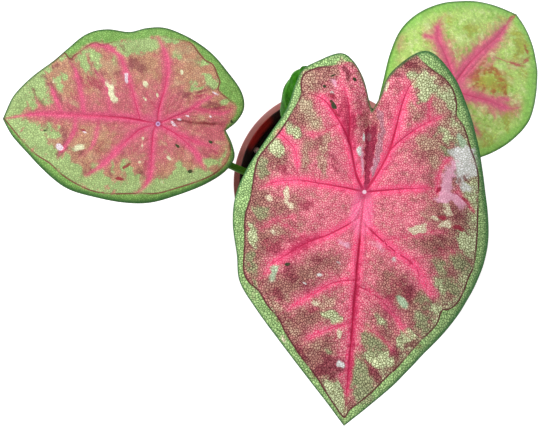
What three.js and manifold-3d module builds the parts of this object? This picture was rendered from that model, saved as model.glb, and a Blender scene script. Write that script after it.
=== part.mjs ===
// A potted caladium: three open heart-shaped leaves and one rolled young leaf on fleshy
// stalks, growing from a tuber buried in potting mix, in a round plastic nursery pot.
//
// Millimetres, +Z up. The origin is the centre of the pot's flat underside, and -Y is the
// side that the largest leaf points to. Each leaf blade is drawn in its own plan frame:
// `a` runs from the stalk's top towards the leaf's tip, `b` runs to the left of that.
import * as THREE from "three";
import { mergeVertices } from "three/addons/utils/BufferGeometryUtils.js";
import Module from "manifold-3d";

const wasm = await Module();
wasm.setup();

// ---------------------------------------------------------------- driving dimensions
const gap = 0.3; // clearance between pieces that touch

const pot = {
  height: 90,
  rimRadius: 52.5,
  rimWidth: 3.9,
  skirtDepth: 10,
  skirtWall: 1.2,
  baseRadius: 37.5,
  wall: 1.3,
  floor: 1.8,
  edge: 1.2, // bevel round the base
  flange: 1.4, // thickness of the rim's flat top
  sides: 56,
  drainHoles: 8,
  drainRadius: 4,
  drainCircle: 27,
};

const soil = {
  top: 70, // well under the rim
  mound: 1.6,
  lumps: 0.9,
  rings: 6,
  sides: 40,
};

const tuber = { middle: 42, radius: 18, halfHeight: 12, dimple: 2, sides: 16, rings: 8 };

// rings: shares of the way from the stalk's top to the margin. pad: how far the blade is
// thickened where the stalk meets it, as a share of the midrib's depth there.
const blade = {
  thickness: 0.85,
  rings: [0.05, 0.12, 0.22, 0.34, 0.47, 0.6, 0.74, 0.88, 1],
  pad: 0.6,
  fieldWidth: 7, // between two columns of the net, at the margin
};

const stalk = { sides: 9, steps: 16 };

const colors = {
  pot: 0x9a5a52,
  soil: 0x1c1410,
  tuber: 0x6b4a2e,
  stalk: 0x3a6a12,
  furled: 0x3f8a1c,
};

// ---------------------------------------------------------------- the leaves
// margins: from the notch between the basal lobes to the tip, left side (b > 0) and right.
// veins: the primary ribs of each side, from the stalk's top out to the margin.
// shape: pitch and the curls bend the blade down, the channel runs over the midrib, and the
// crease is the deeper fold between the basal lobes.
const leaves = [
  {
    name: "front_leaf",
    at: [8.8, -7.7, 228],
    heading: -93.5,
    color: 0xc8486a,
    leftMargin: [
      [-35, 1], [-41.5, 4], [-50, 6.8], [-57, 13], [-62, 20.5], [-61, 26.5], [-54, 33.6],
      [-47, 38.6], [-37, 43], [-25, 47], [-10, 51.4], [4, 55.2], [15, 57], [28, 56], [43, 51],
      [58, 43.3], [72, 32.4], [86, 21.5], [99, 9.7], [109, 0.5],
    ],
    rightMargin: [
      [-35, 1], [-39.5, -0.4], [-49, -3.7], [-56, -8.7], [-58.8, -14.5], [-55, -23.8],
      [-51, -29.8], [-44, -32.8], [-33, -36], [-21.5, -43], [-8.5, -50.8], [4, -55.6],
      [17, -56.3], [31, -53.8], [43, -51.9], [54.4, -44.2], [68.8, -32.5], [82.8, -20.9],
      [96.7, -9.3], [109, 0.5],
    ],
    leftVeins: [
      { through: [[-12, 6], [-22, 10], [-34, 13], [-46, 17], [-62, 20]], rib: 0.9 },
      { through: [[-9, 8], [-17.5, 14], [-26, 22.5], [-31.5, 32], [-34, 45]], rib: 0.7 },
      { through: [[-2, 15], [-4, 24], [-4, 33], [-1, 43], [7, 56]], rib: 0.9 },
      { through: [[8, 2.5], [18, 7], [25, 17], [33, 27], [44, 36], [58, 43]], rib: 0.8 },
      { through: [[20, 2.5], [42, 5], [50, 13], [60, 24], [70, 33]], rib: 0.5 },
    ],
    midrib: { through: [[34, 0], [62, 0], [86, 0], [109, 0.5]], rib: 1.3 },
    rightVeins: [
      { through: [[-11, -4], [-22, -8], [-37, -10], [-48, -13], [-59, -15]], rib: 0.9 },
      { through: [[-10, -6], [-22, -12], [-32, -18], [-38, -25], [-43, -33]], rib: 0.7 },
      { through: [[-2, -11], [-3, -19], [-4, -28], [-2, -39], [5, -56]], rib: 0.9 },
      { through: [[7, -2.5], [15, -9], [22, -20], [30, -32], [43, -51]], rib: 0.8 },
      { through: [[18, -2.8], [34, -5], [41, -13], [49, -24], [61, -38]], rib: 0.5 },
    ],
    shape: {
      pitch: 0.16, tipCurl: 0.0018, lobeCurl: 0.0035, sideCurl: 0.003,
      channel: 2.4, channelWidth: 10, crease: 6.5, creaseWidth: 5, creaseLength: 33,
      wave: 1.4, waves: 4.5, quilt: 0.8,
    },
    stalk: [[3, -5, 50], [4.5, -5, 100], [7.5, -5, 160], [9.2, -6.6, 210], [8.8, -7.7, 227.4]],
    stalkRadii: [3.4, 2.3, 2.6],
  },
  {
    name: "left_leaf",
    at: [-87, 27, 165],
    heading: 176.9,
    color: 0xb8566a,
    leftMargin: [
      [-33.5, 1.5], [-37, 8], [-38.5, 15], [-34, 22], [-24, 29], [-10, 35], [3, 39], [16, 39.5],
      [31, 37.5], [44, 34.5], [54, 28.5], [66, 18], [76, 8.5], [82, 0],
    ],
    rightMargin: [
      [-33.5, 1.5], [-39, -3.5], [-42, -10], [-40, -18], [-33, -27], [-24, -36.5], [-13, -43.5],
      [-1, -48], [9, -48], [18, -46], [29, -47], [39, -44.5], [48, -37.5], [57, -29.5],
      [67, -21.5], [76, -12], [82, 0],
    ],
    leftVeins: [
      { through: [[-11, 4.5], [-21, 8], [-38, 15]], rib: 0.8 },
      { through: [[-10, 7], [-16, 12], [-30, 26]], rib: 0.7 },
      { through: [[2, 10], [2, 20], [4, 28], [9, 39]], rib: 0.8 },
      { through: [[8, 4.5], [16, 9], [24, 16], [31, 24], [41, 36]], rib: 0.7 },
      { through: [[20, 1], [40, 5], [49, 14], [58, 25]], rib: 0.4 },
    ],
    midrib: { through: [[14, -2], [37, -3], [61, -3], [82, 0]], rib: 1.1 },
    rightVeins: [
      { through: [[-8, -3], [-16, -5.5], [-28, -6.5], [-42, -10]], rib: 0.7 },
      { through: [[-8, -6], [-15, -10.5], [-26, -17], [-38, -21]], rib: 0.7 },
      { through: [[-1, -12], [-3, -22], [-3, -32], [4, -48]], rib: 0.8 },
      { through: [[5, -4], [12, -13], [17, -22], [24, -34], [37, -45]], rib: 0.7 },
      { through: [[20, -6], [36, -10], [44, -20], [54, -32]], rib: 0.4 },
    ],
    shape: {
      pitch: 0.15, tipCurl: 0.0015, lobeCurl: 0.003, sideCurl: 0.0035,
      channel: 2, channelWidth: 8, crease: 4, creaseWidth: 5, creaseLength: 30,
      wave: 1.2, waves: 4, quilt: 0.6,
    },
    stalk: [
      [-6, -1, 50], [-14, -0.5, 74], [-32, 2, 96], [-50, 7.5, 112], [-69, 16.5, 135],
      [-82, 24.5, 155], [-87, 27, 164.4],
    ],
    stalkRadii: [3, 1.9, 2.2],
  },
  {
    name: "right_leaf",
    at: [53.8, 42.2, 186],
    heading: 46.9,
    color: 0x8fbf52,
    leftMargin: [
      [-19, 0], [-27, 3], [-34, 8], [-36, 14], [-32, 19], [-22, 25], [-9, 32], [4, 36.5],
      [16, 36.5], [28, 32.5], [39, 25], [47, 17], [53, 7.5], [56.5, 0],
    ],
    rightMargin: [
      [-19, 0], [-27, -3], [-33, -9], [-34, -16], [-29, -23], [-21, -28.5], [-9, -35],
      [4, -38.5], [17, -38.5], [29, -33.5], [40, -26], [49, -16], [54, -7], [56.5, 0],
    ],
    leftVeins: [
      { through: [[-8, 4], [-17, 8], [-27, 12], [-36, 14]], rib: 0.7 },
      { through: [[-3, 10], [-6, 20], [-9, 32]], rib: 0.5 },
      { through: [[8, 9], [14, 18], [21, 25], [30, 32]], rib: 0.7 },
      { through: [[20, 2.5], [33, 9], [47, 17]], rib: 0.4 },
    ],
    midrib: { through: [[13, -1], [30, -1], [44, -1], [56.5, 0]], rib: 0.9 },
    rightVeins: [
      { through: [[-8, -4], [-17, -8], [-26, -13], [-34, -16]], rib: 0.7 },
      { through: [[-4, -10], [-7, -20], [-9, -35]], rib: 0.5 },
      { through: [[3, -9], [8, -18], [14, -28], [21, -37]], rib: 0.7 },
      { through: [[18, -5], [31, -12], [44, -22]], rib: 0.4 },
    ],
    shape: {
      pitch: 0.35, tipCurl: 0.005, lobeCurl: 0.01, sideCurl: 0.005,
      channel: 1.4, channelWidth: 8, crease: 2.5, creaseWidth: 5, creaseLength: 19,
      wave: 0.8, waves: 3, quilt: 0.5,
    },
    stalk: [
      [6, 4, 50], [10, 7, 74], [23, 17, 115], [39, 29.5, 155], [49.5, 38.5, 177],
      [53.8, 42.2, 185.4],
    ],
    stalkRadii: [2.9, 1.7, 2],
  },
];

// The young leaf: a slim stalk that swells into the tightly rolled blade and ends in a point.
const furled = {
  path: [[-2.5, 6.5, 50], [-8, 13, 76], [-16, 24.5, 100], [-20.5, 33.5, 120], [-18.4, 44, 143],
    [-14.3, 55, 167]],
  profile: [[0, 2.9], [0.2, 2.1], [0.42, 2.3], [0.55, 4], [0.68, 6.4], [0.8, 7.1], [0.9, 5.4],
    [0.97, 2.4], [1, 0.4]],
  lip: 0.14, // how far the outer edge of the roll stands out, as a share of the radius
  twist: 1.1, // turns of the edge along the roll
  sides: 14,
  steps: 26,
};

// ---------------------------------------------------------------- solids and meshes
function toSolid(geometry) {
  const bare = geometry.clone();
  bare.deleteAttribute("normal");
  bare.deleteAttribute("uv");
  const merged = mergeVertices(bare, 1e-4);
  return new wasm.Manifold(
    new wasm.Mesh({
      numProp: 3,
      vertProperties: new Float32Array(merged.attributes.position.array),
      triVerts: new Uint32Array(merged.index.array),
    }),
  );
}

function toGeometry(solid) {
  const mesh = solid.getMesh();
  const geometry = new THREE.BufferGeometry();
  geometry.setAttribute("position", new THREE.BufferAttribute(mesh.vertProperties, 3));
  geometry.setIndex(new THREE.BufferAttribute(mesh.triVerts, 1));
  geometry.computeVertexNormals();
  return geometry;
}

// Cuts and joins can leave a crumb beside the piece: this keeps the piece.
function largestBody(solid) {
  return solid.decompose().reduce((a, b) => (b.volume() > a.volume() ? b : a));
}

function node(name, geometry, color, roughness = 0.6) {
  const material = new THREE.MeshStandardMaterial({ color, roughness, metalness: 0 });
  const mesh = new THREE.Mesh(geometry, material);
  mesh.name = name;
  return mesh;
}

// A profile of [radius, height] pairs turned round +Z.
function turned(profile, sides) {
  const points = profile.map(([r, z]) => new THREE.Vector2(r, z));
  return new THREE.LatheGeometry(points, sides).rotateX(Math.PI / 2);
}

// A closed skin over rings of points that all have the same count, with flat ends.
function loft(rings) {
  const count = rings[0].length;
  const positions = rings.flat().flatMap((p) => [p.x, p.y, p.z]);
  const faces = [];
  for (let r = 0; r + 1 < rings.length; r++)
    for (let i = 0; i < count; i++) {
      const j = (i + 1) % count;
      const [p, q] = [r * count, (r + 1) * count];
      faces.push(p + i, p + j, q + j, p + i, q + j, q + i);
    }
  for (const [ring, first] of [[rings[0], 0], [rings.at(-1), (rings.length - 1) * count]]) {
    const centre = ring.reduce((a, p) => a.add(p), new THREE.Vector3()).divideScalar(count);
    const hub = positions.push(centre.x, centre.y, centre.z) / 3 - 1;
    for (let i = 0; i < count; i++) {
      const [p, q] = [first + i, first + ((i + 1) % count)];
      faces.push(...(first === 0 ? [hub, q, p] : [hub, p, q]));
    }
  }
  const geometry = new THREE.BufferGeometry();
  geometry.setAttribute("position", new THREE.Float32BufferAttribute(positions, 3));
  geometry.setIndex(faces);
  geometry.computeVertexNormals();
  return geometry;
}

// A round stem along a path: radiusAt(share, angle) gives its radius on the way up.
function stem(path, radiusAt, sides, steps) {
  const curve = new THREE.CatmullRomCurve3(path.map((p) => new THREE.Vector3(...p)));
  const frames = curve.computeFrenetFrames(steps, false);
  const rings = [];
  for (let k = 0; k <= steps; k++) {
    const centre = curve.getPointAt(k / steps);
    const ring = [];
    for (let i = 0; i < sides; i++) {
      const angle = (i / sides) * 2 * Math.PI;
      const radius = radiusAt(k / steps, angle);
      ring.push(
        centre
          .clone()
          .addScaledVector(frames.normals[k], radius * Math.cos(angle))
          .addScaledVector(frames.binormals[k], radius * Math.sin(angle)),
      );
    }
    rings.push(ring);
  }
  return loft(rings);
}

// ---------------------------------------------------------------- leaf blades
const plan = (points) => new THREE.SplineCurve(points.map((p) => new THREE.Vector2(...p)));

// The whole margin as one round trip: 0 at the notch, 1 at the tip, 2 at the notch again.
function marginOf(leaf) {
  const left = plan(leaf.leftMargin);
  const right = plan(leaf.rightMargin);
  return (u) => (u <= 1 ? left.getPoint(u) : right.getPoint(2 - u));
}

// Where on the margin a vein ends: the place nearest to its last point.
function endOnMargin(margin, point, from, to) {
  let best = from;
  const steps = 400;
  for (let i = 0; i <= steps; i++) {
    const u = from + ((to - from) * i) / steps;
    if (margin(u).distanceTo(point) < margin(best).distanceTo(point)) best = u;
  }
  return best;
}

// The spokes of a blade: the crease, the primary veins and the midrib, in margin order.
function spokesOf(leaf, margin) {
  const spoke = ({ through, rib }, from, to) => {
    const last = new THREE.Vector2(...through.at(-1));
    const u = from === to ? from : endOnMargin(margin, last, from, to);
    const end = margin(u);
    const curve = plan([[0, 0], ...through.slice(0, -1), [end.x, end.y]]);
    return { u, rib, at: (t) => curve.getPointAt(t), along: (t) => curve.getTangentAt(t) };
  };
  const crease = { through: [leaf.leftMargin[0]], rib: 0 };
  const left = leaf.leftVeins.map((v) => spoke(v, 0.02, 0.98));
  const right = leaf.rightVeins.map((v) => spoke(v, 1.98, 1.02)).reverse();
  return [spoke(crease, 0, 0), ...left, spoke(leaf.midrib, 1, 1), ...right, spoke(crease, 2, 2)];
}

// A rib's half width and depth, t of the way out: both shrink towards the margin.
const ribWidth = (rib, t) => (0.8 + rib) * Math.min(1, t / 0.12) * (1 - 0.6 * t);
const ribDepth = (rib, t) => 1.7 * rib * (1 - 0.85 * t);

// The columns of a blade's net: for each spoke its own line and one at either foot of its
// rib, with evenly spread lines in the fields between two spokes. Where two spokes run close
// together, their feet keep to a third of the way between them.
function columnsOf(leaf) {
  const margin = marginOf(leaf);
  const spokes = spokesOf(leaf, margin);
  const columns = [];
  const foot = (spoke, neighbour, side) => {
    const step = 1e-3;
    const [before, after] = [Math.max(0, spoke.u - step), Math.min(2, spoke.u + step)];
    const perMillimetre = (after - before) / margin(after).distanceTo(margin(before));
    const at = (t) => {
      const tangent = spoke.along(Math.min(1 - step, Math.max(step, t)));
      const across = new THREE.Vector2(tangent.y, -tangent.x);
      const room = Math.abs(neighbour.at(t).sub(spoke.at(t)).dot(across)) / 3;
      return spoke.at(t).addScaledVector(across, side * Math.min(room, ribWidth(spoke.rib, t)));
    };
    const u = spoke.u + side * ribWidth(spoke.rib, 1) * perMillimetre;
    return { u, at, rib: 0, field: side > 0 ? 0 : 1 };
  };
  for (let k = 0; k + 1 < spokes.length; k++) {
    const [here, next] = [spokes[k], spokes[k + 1]];
    const [near, far] = [foot(here, next, 1), foot(next, here, -1)];
    columns.push({ ...here, field: 0 }, near);
    const width = margin(near.u).distanceTo(margin(far.u));
    const count = THREE.MathUtils.clamp(Math.round(width / blade.fieldWidth) - 1, 1, 4);
    for (let i = 1; i <= count; i++) {
      const f = i / (count + 1);
      const at = (t) => near.at(t).lerp(far.at(t), f);
      columns.push({ u: near.u + (far.u - near.u) * f, at, rib: 0, field: f });
    }
    columns.push(far);
  }
  // Every column is led on to its own place on the margin.
  return columns.map((c) => {
    const missed = margin(c.u).sub(c.at(1));
    return { ...c, at: (t) => c.at(t).addScaledVector(missed, t * t) };
  });
}

// How high the blade's upper face lies over the stalk's top: t of the way out to the place
// u on the margin, and field of the way from one spoke to the next.
function rise(leaf, a, b, u, t, field) {
  const s = leaf.shape;
  const curl = a > 0 ? s.tipCurl : s.lobeCurl;
  const back = THREE.MathUtils.smoothstep(-a, 0, s.creaseLength);
  const depth = THREE.MathUtils.lerp(s.channel, s.crease, back);
  const width = THREE.MathUtils.lerp(s.channelWidth, s.creaseWidth, back);
  const round = 1.5; // radius that the folds are rounded to
  const across = Math.hypot(b, round) - round;
  const share = u <= 1 ? u : 2 - u;
  return (
    -s.pitch * a -
    curl * a * a -
    s.sideCurl * b * b +
    depth * (1 - Math.exp(-across / width)) +
    s.wave * t ** 3 * Math.sin(2 * Math.PI * s.waves * u) * Math.sin(Math.PI * share) +
    s.quilt * Math.sin(Math.PI * field) * Math.sin(Math.PI * Math.min(1, t * 1.05))
  );
}

function bladeGeometry(leaf) {
  const columns = columnsOf(leaf);
  const heading = THREE.MathUtils.degToRad(leaf.heading);
  const [x0, y0, z0] = leaf.at;
  const place = (a, b, z) => [
    x0 + a * Math.cos(heading) - b * Math.sin(heading),
    y0 + a * Math.sin(heading) + b * Math.cos(heading),
    z0 + z,
  ];
  const deepest = blade.thickness + ribDepth(leaf.midrib.rib, 0);
  const [upper, lower] = [[place(0, 0, 0)], [place(0, 0, -deepest)]];
  for (const t of blade.rings)
    for (const c of columns) {
      const { x: a, y: b } = c.at(t);
      const z = rise(leaf, a, b, c.u, t, c.field);
      const pad = blade.pad * deepest * Math.max(0, 1 - t / 0.1);
      const under = blade.thickness + ribDepth(c.rib, t) + pad;
      upper.push(place(a, b, z));
      lower.push(place(a, b, z - under));
    }
  const n = columns.length;
  const faces = [];
  const skin = (base, turnedOver) => {
    const add = (p, q, r) => {
      const corners = turnedOver ? [p, r, q] : [p, q, r];
      faces.push(...corners.map((corner) => base + corner));
    };
    for (let i = 0; i < n; i++) {
      const j = (i + 1) % n;
      add(0, 1 + j, 1 + i);
      for (let k = 0; k + 1 < blade.rings.length; k++) {
        const [p, q] = [1 + k * n, 1 + (k + 1) * n];
        add(p + i, p + j, q + j);
        add(p + i, q + j, q + i);
      }
    }
  };
  skin(0, false);
  skin(upper.length, true);
  const rim = 1 + (blade.rings.length - 1) * n;
  for (let i = 0; i < n; i++) {
    const [p, q] = [rim + i, rim + ((i + 1) % n)];
    const [pLow, qLow] = [p + upper.length, q + upper.length];
    faces.push(p, q, qLow, p, qLow, pLow);
  }
  const geometry = new THREE.BufferGeometry();
  const positions = [...upper, ...lower].flat();
  geometry.setAttribute("position", new THREE.Float32BufferAttribute(positions, 3));
  geometry.setIndex(faces);
  return geometry;
}

// ---------------------------------------------------------------- stalks and tuber
// Thick at its foot, slim on the way up, a little wider again under the blade.
function stalkRadius([foot, middle, top], share) {
  const low = THREE.MathUtils.smoothstep(share, 0, 0.3);
  const high = THREE.MathUtils.smoothstep(share, 0.88, 1);
  return foot + (middle - foot) * low + (top - middle) * high;
}

function stalkGeometry(leaf, extra = 0) {
  const radiusAt = (share) => stalkRadius(leaf.stalkRadii, share) + extra;
  return stem(leaf.stalk, radiusAt, stalk.sides, stalk.steps);
}

function furledGeometry(extra = 0) {
  const radiusOf = (share) => {
    const k = furled.profile.findIndex(([s]) => s >= share - 1e-9);
    if (k <= 0) return furled.profile[0][1];
    const [[s0, r0], [s1, r1]] = [furled.profile[k - 1], furled.profile[k]];
    return r0 + (r1 - r0) * THREE.MathUtils.smoothstep(share, s0, s1);
  };
  const radiusAt = (share, angle) => {
    const rolled = THREE.MathUtils.smoothstep(share, 0.45, 0.6);
    const wound = (angle / (2 * Math.PI) + furled.twist * share) % 1;
    return radiusOf(share) * (1 + furled.lip * rolled * (wound - 0.5)) + extra;
  };
  return stem(furled.path, radiusAt, furled.sides, furled.steps);
}

// A flattened knobbly globe with a shallow crown.
function tuberGeometry(extra = 0) {
  const profile = [];
  for (let k = 0; k <= tuber.rings; k++) {
    const turn = (k / tuber.rings - 0.5) * Math.PI;
    const crown = tuber.dimple * THREE.MathUtils.smoothstep(Math.sin(turn), 0.85, 1);
    const radius = k === 0 || k === tuber.rings ? 0 : (tuber.radius + extra) * Math.cos(turn);
    profile.push([radius, tuber.middle + (tuber.halfHeight + extra) * Math.sin(turn) - crown]);
  }
  const geometry = turned(profile, tuber.sides);
  const p = geometry.attributes.position;
  for (let i = 0; i < p.count; i++) {
    const angle = Math.atan2(p.getY(i), p.getX(i));
    const knob = 1 + 0.06 * Math.sin(3 * angle + 0.4) + 0.04 * Math.sin(5 * angle + p.getZ(i) / 4);
    p.setXY(i, p.getX(i) * knob, p.getY(i) * knob);
  }
  return geometry;
}

// ---------------------------------------------------------------- pot and soil
const innerRadius = (z) => {
  const topInside = pot.rimRadius - pot.rimWidth;
  const baseInside = pot.baseRadius - pot.wall;
  return baseInside + ((topInside - baseInside) * z) / pot.height;
};

function potSolid() {
  const { height, rimRadius, skirtDepth, skirtWall, baseRadius, wall, floor, edge } = pot;
  const under = height - pot.flange;
  const skirtFoot = height - skirtDepth;
  const wallAt = (z) => innerRadius(z) + wall;
  const profile = [
    [0, 0],
    [baseRadius - edge, 0],
    [baseRadius, edge],
    [wallAt(skirtFoot), skirtFoot],
    [wallAt(under), under],
    [rimRadius - skirtWall, under],
    [rimRadius - skirtWall - 0.5, skirtFoot],
    [rimRadius - 0.5, skirtFoot],
    [rimRadius, height - 1],
    [rimRadius - 0.3, height - 0.3],
    [rimRadius - 1, height],
    [innerRadius(height) + 0.8, height],
    [innerRadius(height) + 0.2, height - 0.3],
    [innerRadius(height - 1), height - 1],
    [innerRadius(floor + edge), floor + edge],
    [innerRadius(floor) - edge, floor],
    [0, floor],
  ];
  let solid = toSolid(turned(profile, pot.sides));
  for (let i = 0; i < pot.drainHoles; i++) {
    const angle = ((i + 0.5) / pot.drainHoles) * 2 * Math.PI;
    const hole = new THREE.CylinderGeometry(pot.drainRadius, pot.drainRadius, 3 * floor, 14)
      .rotateX(Math.PI / 2)
      .translate(pot.drainCircle * Math.cos(angle), pot.drainCircle * Math.sin(angle), floor / 2);
    solid = solid.subtract(toSolid(hole));
  }
  return solid;
}

// Potting mix: it fills the pot to under the rim, with a lumpy top that rises to the middle.
function soilSolid(buried) {
  const floor = pot.floor + gap;
  const inside = (z) => innerRadius(z) - gap * 1.5;
  const profile = [
    [0, floor],
    [inside(floor + pot.edge) - pot.edge, floor],
    [inside(floor + pot.edge), floor + pot.edge],
    [inside(soil.top), soil.top],
  ];
  for (let k = soil.rings - 1; k > 0; k--)
    profile.push([(inside(soil.top) * k) / soil.rings, soil.top]);
  profile.push([0, soil.top]);
  const geometry = turned(profile, soil.sides);
  const p = geometry.attributes.position;
  for (let i = 0; i < p.count; i++) {
    const [x, y, z] = [p.getX(i), p.getY(i), p.getZ(i)];
    if (z < soil.top - 1e-3) continue;
    const middle = 1 - Math.hypot(x, y) / inside(soil.top);
    const lump = Math.sin(x * 0.51 + 1.3) * Math.cos(y * 0.43) + Math.sin((x + y) * 0.29);
    p.setZ(i, z + soil.mound * middle + soil.lumps * lump * Math.min(1, 3 * middle));
  }
  return buried.reduce((solid, piece) => solid.subtract(piece), toSolid(geometry));
}

// ---------------------------------------------------------------- the plant in its pot
const plant = new THREE.Group();

const tuberRoom = toSolid(tuberGeometry(gap));
const buried = [tuberRoom];

for (const leaf of leaves) {
  const bladeSolid = toSolid(bladeGeometry(leaf));
  const bladeRoom = bladeSolid.add(bladeSolid.translate([0, 0, -gap]));
  const stalkSolid = toSolid(stalkGeometry(leaf)).subtract(bladeRoom).subtract(tuberRoom);
  plant.add(node(`${leaf.name}_blade`, toGeometry(bladeSolid), leaf.color, 0.5));
  plant.add(node(`${leaf.name}_petiole`, toGeometry(largestBody(stalkSolid)), colors.stalk, 0.5));
  buried.push(toSolid(stalkGeometry(leaf, gap)));
}

const furledSolid = toSolid(furledGeometry()).subtract(tuberRoom);
plant.add(node("furled_leaf", toGeometry(largestBody(furledSolid)), colors.furled, 0.45));
buried.push(toSolid(furledGeometry(gap)));

plant.add(node("tuber", tuberGeometry(), colors.tuber, 0.9));
plant.add(node("soil", toGeometry(largestBody(soilSolid(buried))), colors.soil, 0.95));
plant.add(node("pot", toGeometry(potSolid()), colors.pot, 0.45));

export default plant;
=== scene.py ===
import bpy
import math
import numpy as np
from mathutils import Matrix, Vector


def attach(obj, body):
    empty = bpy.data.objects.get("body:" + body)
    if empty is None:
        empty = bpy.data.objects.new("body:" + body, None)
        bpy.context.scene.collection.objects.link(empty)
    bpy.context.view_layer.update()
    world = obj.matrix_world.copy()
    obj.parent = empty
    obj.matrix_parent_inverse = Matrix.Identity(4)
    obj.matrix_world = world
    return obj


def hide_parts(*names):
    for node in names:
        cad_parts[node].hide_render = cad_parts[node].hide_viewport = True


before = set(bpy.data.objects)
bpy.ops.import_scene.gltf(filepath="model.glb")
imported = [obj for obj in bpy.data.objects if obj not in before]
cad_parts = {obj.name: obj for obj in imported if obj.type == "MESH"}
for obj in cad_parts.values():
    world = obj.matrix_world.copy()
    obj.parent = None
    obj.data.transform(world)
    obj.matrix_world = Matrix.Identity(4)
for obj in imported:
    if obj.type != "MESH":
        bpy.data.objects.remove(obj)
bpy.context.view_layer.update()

# A potted caladium. A leaf is drawn in millimetres in its own plan: a runs from the stalk's
# top towards the tip, b to the left of it. Stalks and pot are in millimetres too, in the
# object's frame, and every piece is made in metres.
mm = 0.001
mergeGap = 1e-6  # points closer than this, in metres, become one


def colour(hexText):
    channels = [int(hexText[i:i + 2], 16) / 255 for i in (1, 3, 5)]
    linear = [c / 12.92 if c <= 0.04045 else ((c + 0.055) / 1.055) ** 2.4 for c in channels]
    return (*linear, 1.0)


def smoothStep(x, low, high):
    t = np.clip((np.asarray(x, float) - low) / (high - low), 0, 1)
    return t * t * (3 - 2 * t)


def deselectAll():
    if bpy.context.object and bpy.context.object.mode != "OBJECT":
        bpy.ops.object.mode_set(mode="OBJECT")
    bpy.ops.object.select_all(action="DESELECT")


def pick(piece):
    deselectAll()
    piece.select_set(True)
    bpy.context.view_layer.objects.active = piece


def joinAll(pieces):
    deselectAll()
    for piece in pieces:
        piece.select_set(True)
    bpy.context.view_layer.objects.active = pieces[0]
    bpy.ops.object.join()
    return pieces[0]


def applyAll(piece):
    pick(piece)
    for modifier in list(piece.modifiers):
        bpy.ops.object.modifier_apply(modifier=modifier.name)


def mergeAndRecalc(piece):
    pick(piece)
    bpy.ops.object.mode_set(mode="EDIT")
    bpy.ops.mesh.select_all(action="SELECT")
    bpy.ops.mesh.remove_doubles(threshold=mergeGap)
    bpy.ops.mesh.normals_make_consistent(inside=False)
    bpy.ops.object.mode_set(mode="OBJECT")


def addGrid(name, rows, columns):
    # a flat grid from -1 to 1, to be shaped point by point
    deselectAll()
    bpy.ops.mesh.primitive_grid_add(x_subdivisions=rows, y_subdivisions=columns, size=2)
    piece = bpy.context.object
    piece.name = piece.data.name = name
    return piece


def pointsOf(piece):
    points = np.empty(len(piece.data.vertices) * 3)
    piece.data.vertices.foreach_get("co", points)
    return points.reshape(-1, 3)


def gridShape(piece, rows, columns):
    # the row and the column that each point of a grid stands for
    points = pointsOf(piece)
    i = np.rint((points[:, 0] + 1) / 2 * rows).astype(int)
    j = np.rint((points[:, 1] + 1) / 2 * columns).astype(int)
    return i, j


def placePoints(piece, points):
    piece.data.vertices.foreach_set("co", np.asarray(points, float).ravel())
    piece.data.update()


def cornersOf(piece):
    # the point that each face corner uses
    corners = np.empty(len(piece.data.loops), int)
    piece.data.loops.foreach_get("vertex_index", corners)
    return corners


def setUvs(piece, name, perPoint):
    # the grid's own UV map gets this name, and a place for every point
    layer = piece.data.uv_layers[0]
    layer.name = name
    perCorner = np.asarray(perPoint, float)[cornersOf(piece)]
    piece.data.uv_layers[name].data.foreach_set("uv", perCorner.ravel())


def setField(piece, name, values):
    field = piece.data.attributes.new(name, "FLOAT", "POINT")
    field.data.foreach_set("value", np.asarray(values, float))


def finishPiece(piece, nodes, smoothAngle=None):
    pick(piece)
    if smoothAngle is None:
        bpy.ops.object.shade_smooth()
    else:
        bpy.ops.object.shade_smooth_by_angle(angle=math.radians(smoothAngle))
    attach(piece, "root")
    if nodes:
        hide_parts(*nodes)
    print(piece.name, len(piece.data.polygons), "faces")


def ripples(points, length, seed, waves=9, calm=5):
    # gentle unevenness, mostly between -1 and 1: seeded waves that run in all directions
    draw = np.random.default_rng(seed)
    total = np.zeros(len(points))
    for _ in range(waves):
        direction = draw.normal(size=points.shape[1])
        direction /= np.linalg.norm(direction)
        phase, stretch = draw.uniform(0, math.tau), draw.uniform(0.6, 1.6)
        total += np.sin(math.tau * (points @ direction) / (length * stretch) + phase)
    return total / calm


# short ways to write a material's nodes

def newMaterial(name):
    material = bpy.data.materials.new(name)
    material.use_nodes = True
    material.node_tree.nodes.clear()
    return material, material.node_tree


def addNode(tree, kind, inputs=None, **settings):
    node = tree.nodes.new(kind)
    for key, value in settings.items():
        setattr(node, key, value)
    for key, value in (inputs or {}).items():
        socket = node.inputs[key]
        if isinstance(value, bpy.types.NodeSocket):
            tree.links.new(value, socket)
        else:
            socket.default_value = value
    return node


def maths(tree, operation, first, second=0.0):
    return addNode(tree, "ShaderNodeMath", {0: first, 1: second}, operation=operation).outputs[0]


def plus(tree, first, second):
    return maths(tree, "ADD", first, second)


def minus(tree, first, second):
    return maths(tree, "SUBTRACT", first, second)


def times(tree, first, second):
    return maths(tree, "MULTIPLY", first, second)


def unsigned(tree, value):
    return maths(tree, "ABSOLUTE", value)


def ramp(tree, value, low, high, fromLevel=0.0, toLevel=1.0):
    # a soft step from one level to another as value goes from low to high
    inputs = {
        "Value": value, "From Min": low, "From Max": high, "To Min": fromLevel, "To Max": toLevel}
    return addNode(tree, "ShaderNodeMapRange", inputs, interpolation_type="SMOOTHSTEP").outputs[0]


def blend(tree, factor, first, second, mode="MIX"):
    inputs = {0: factor, 6: first, 7: second}
    return addNode(tree, "ShaderNodeMix", inputs, data_type="RGBA", blend_type=mode).outputs[2]


def noiseOf(tree, where, scale, detail=2.0, roughness=0.5):
    inputs = {"Vector": where, "Scale": scale, "Detail": detail, "Roughness": roughness}
    return addNode(tree, "ShaderNodeTexNoise", inputs).outputs[0]


def swing(tree, value, size):
    # noise about zero, of a given size
    return times(tree, minus(tree, value, 0.5), size)


def swung(tree, value, noise, size):
    return plus(tree, value, swing(tree, noise, size))


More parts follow.
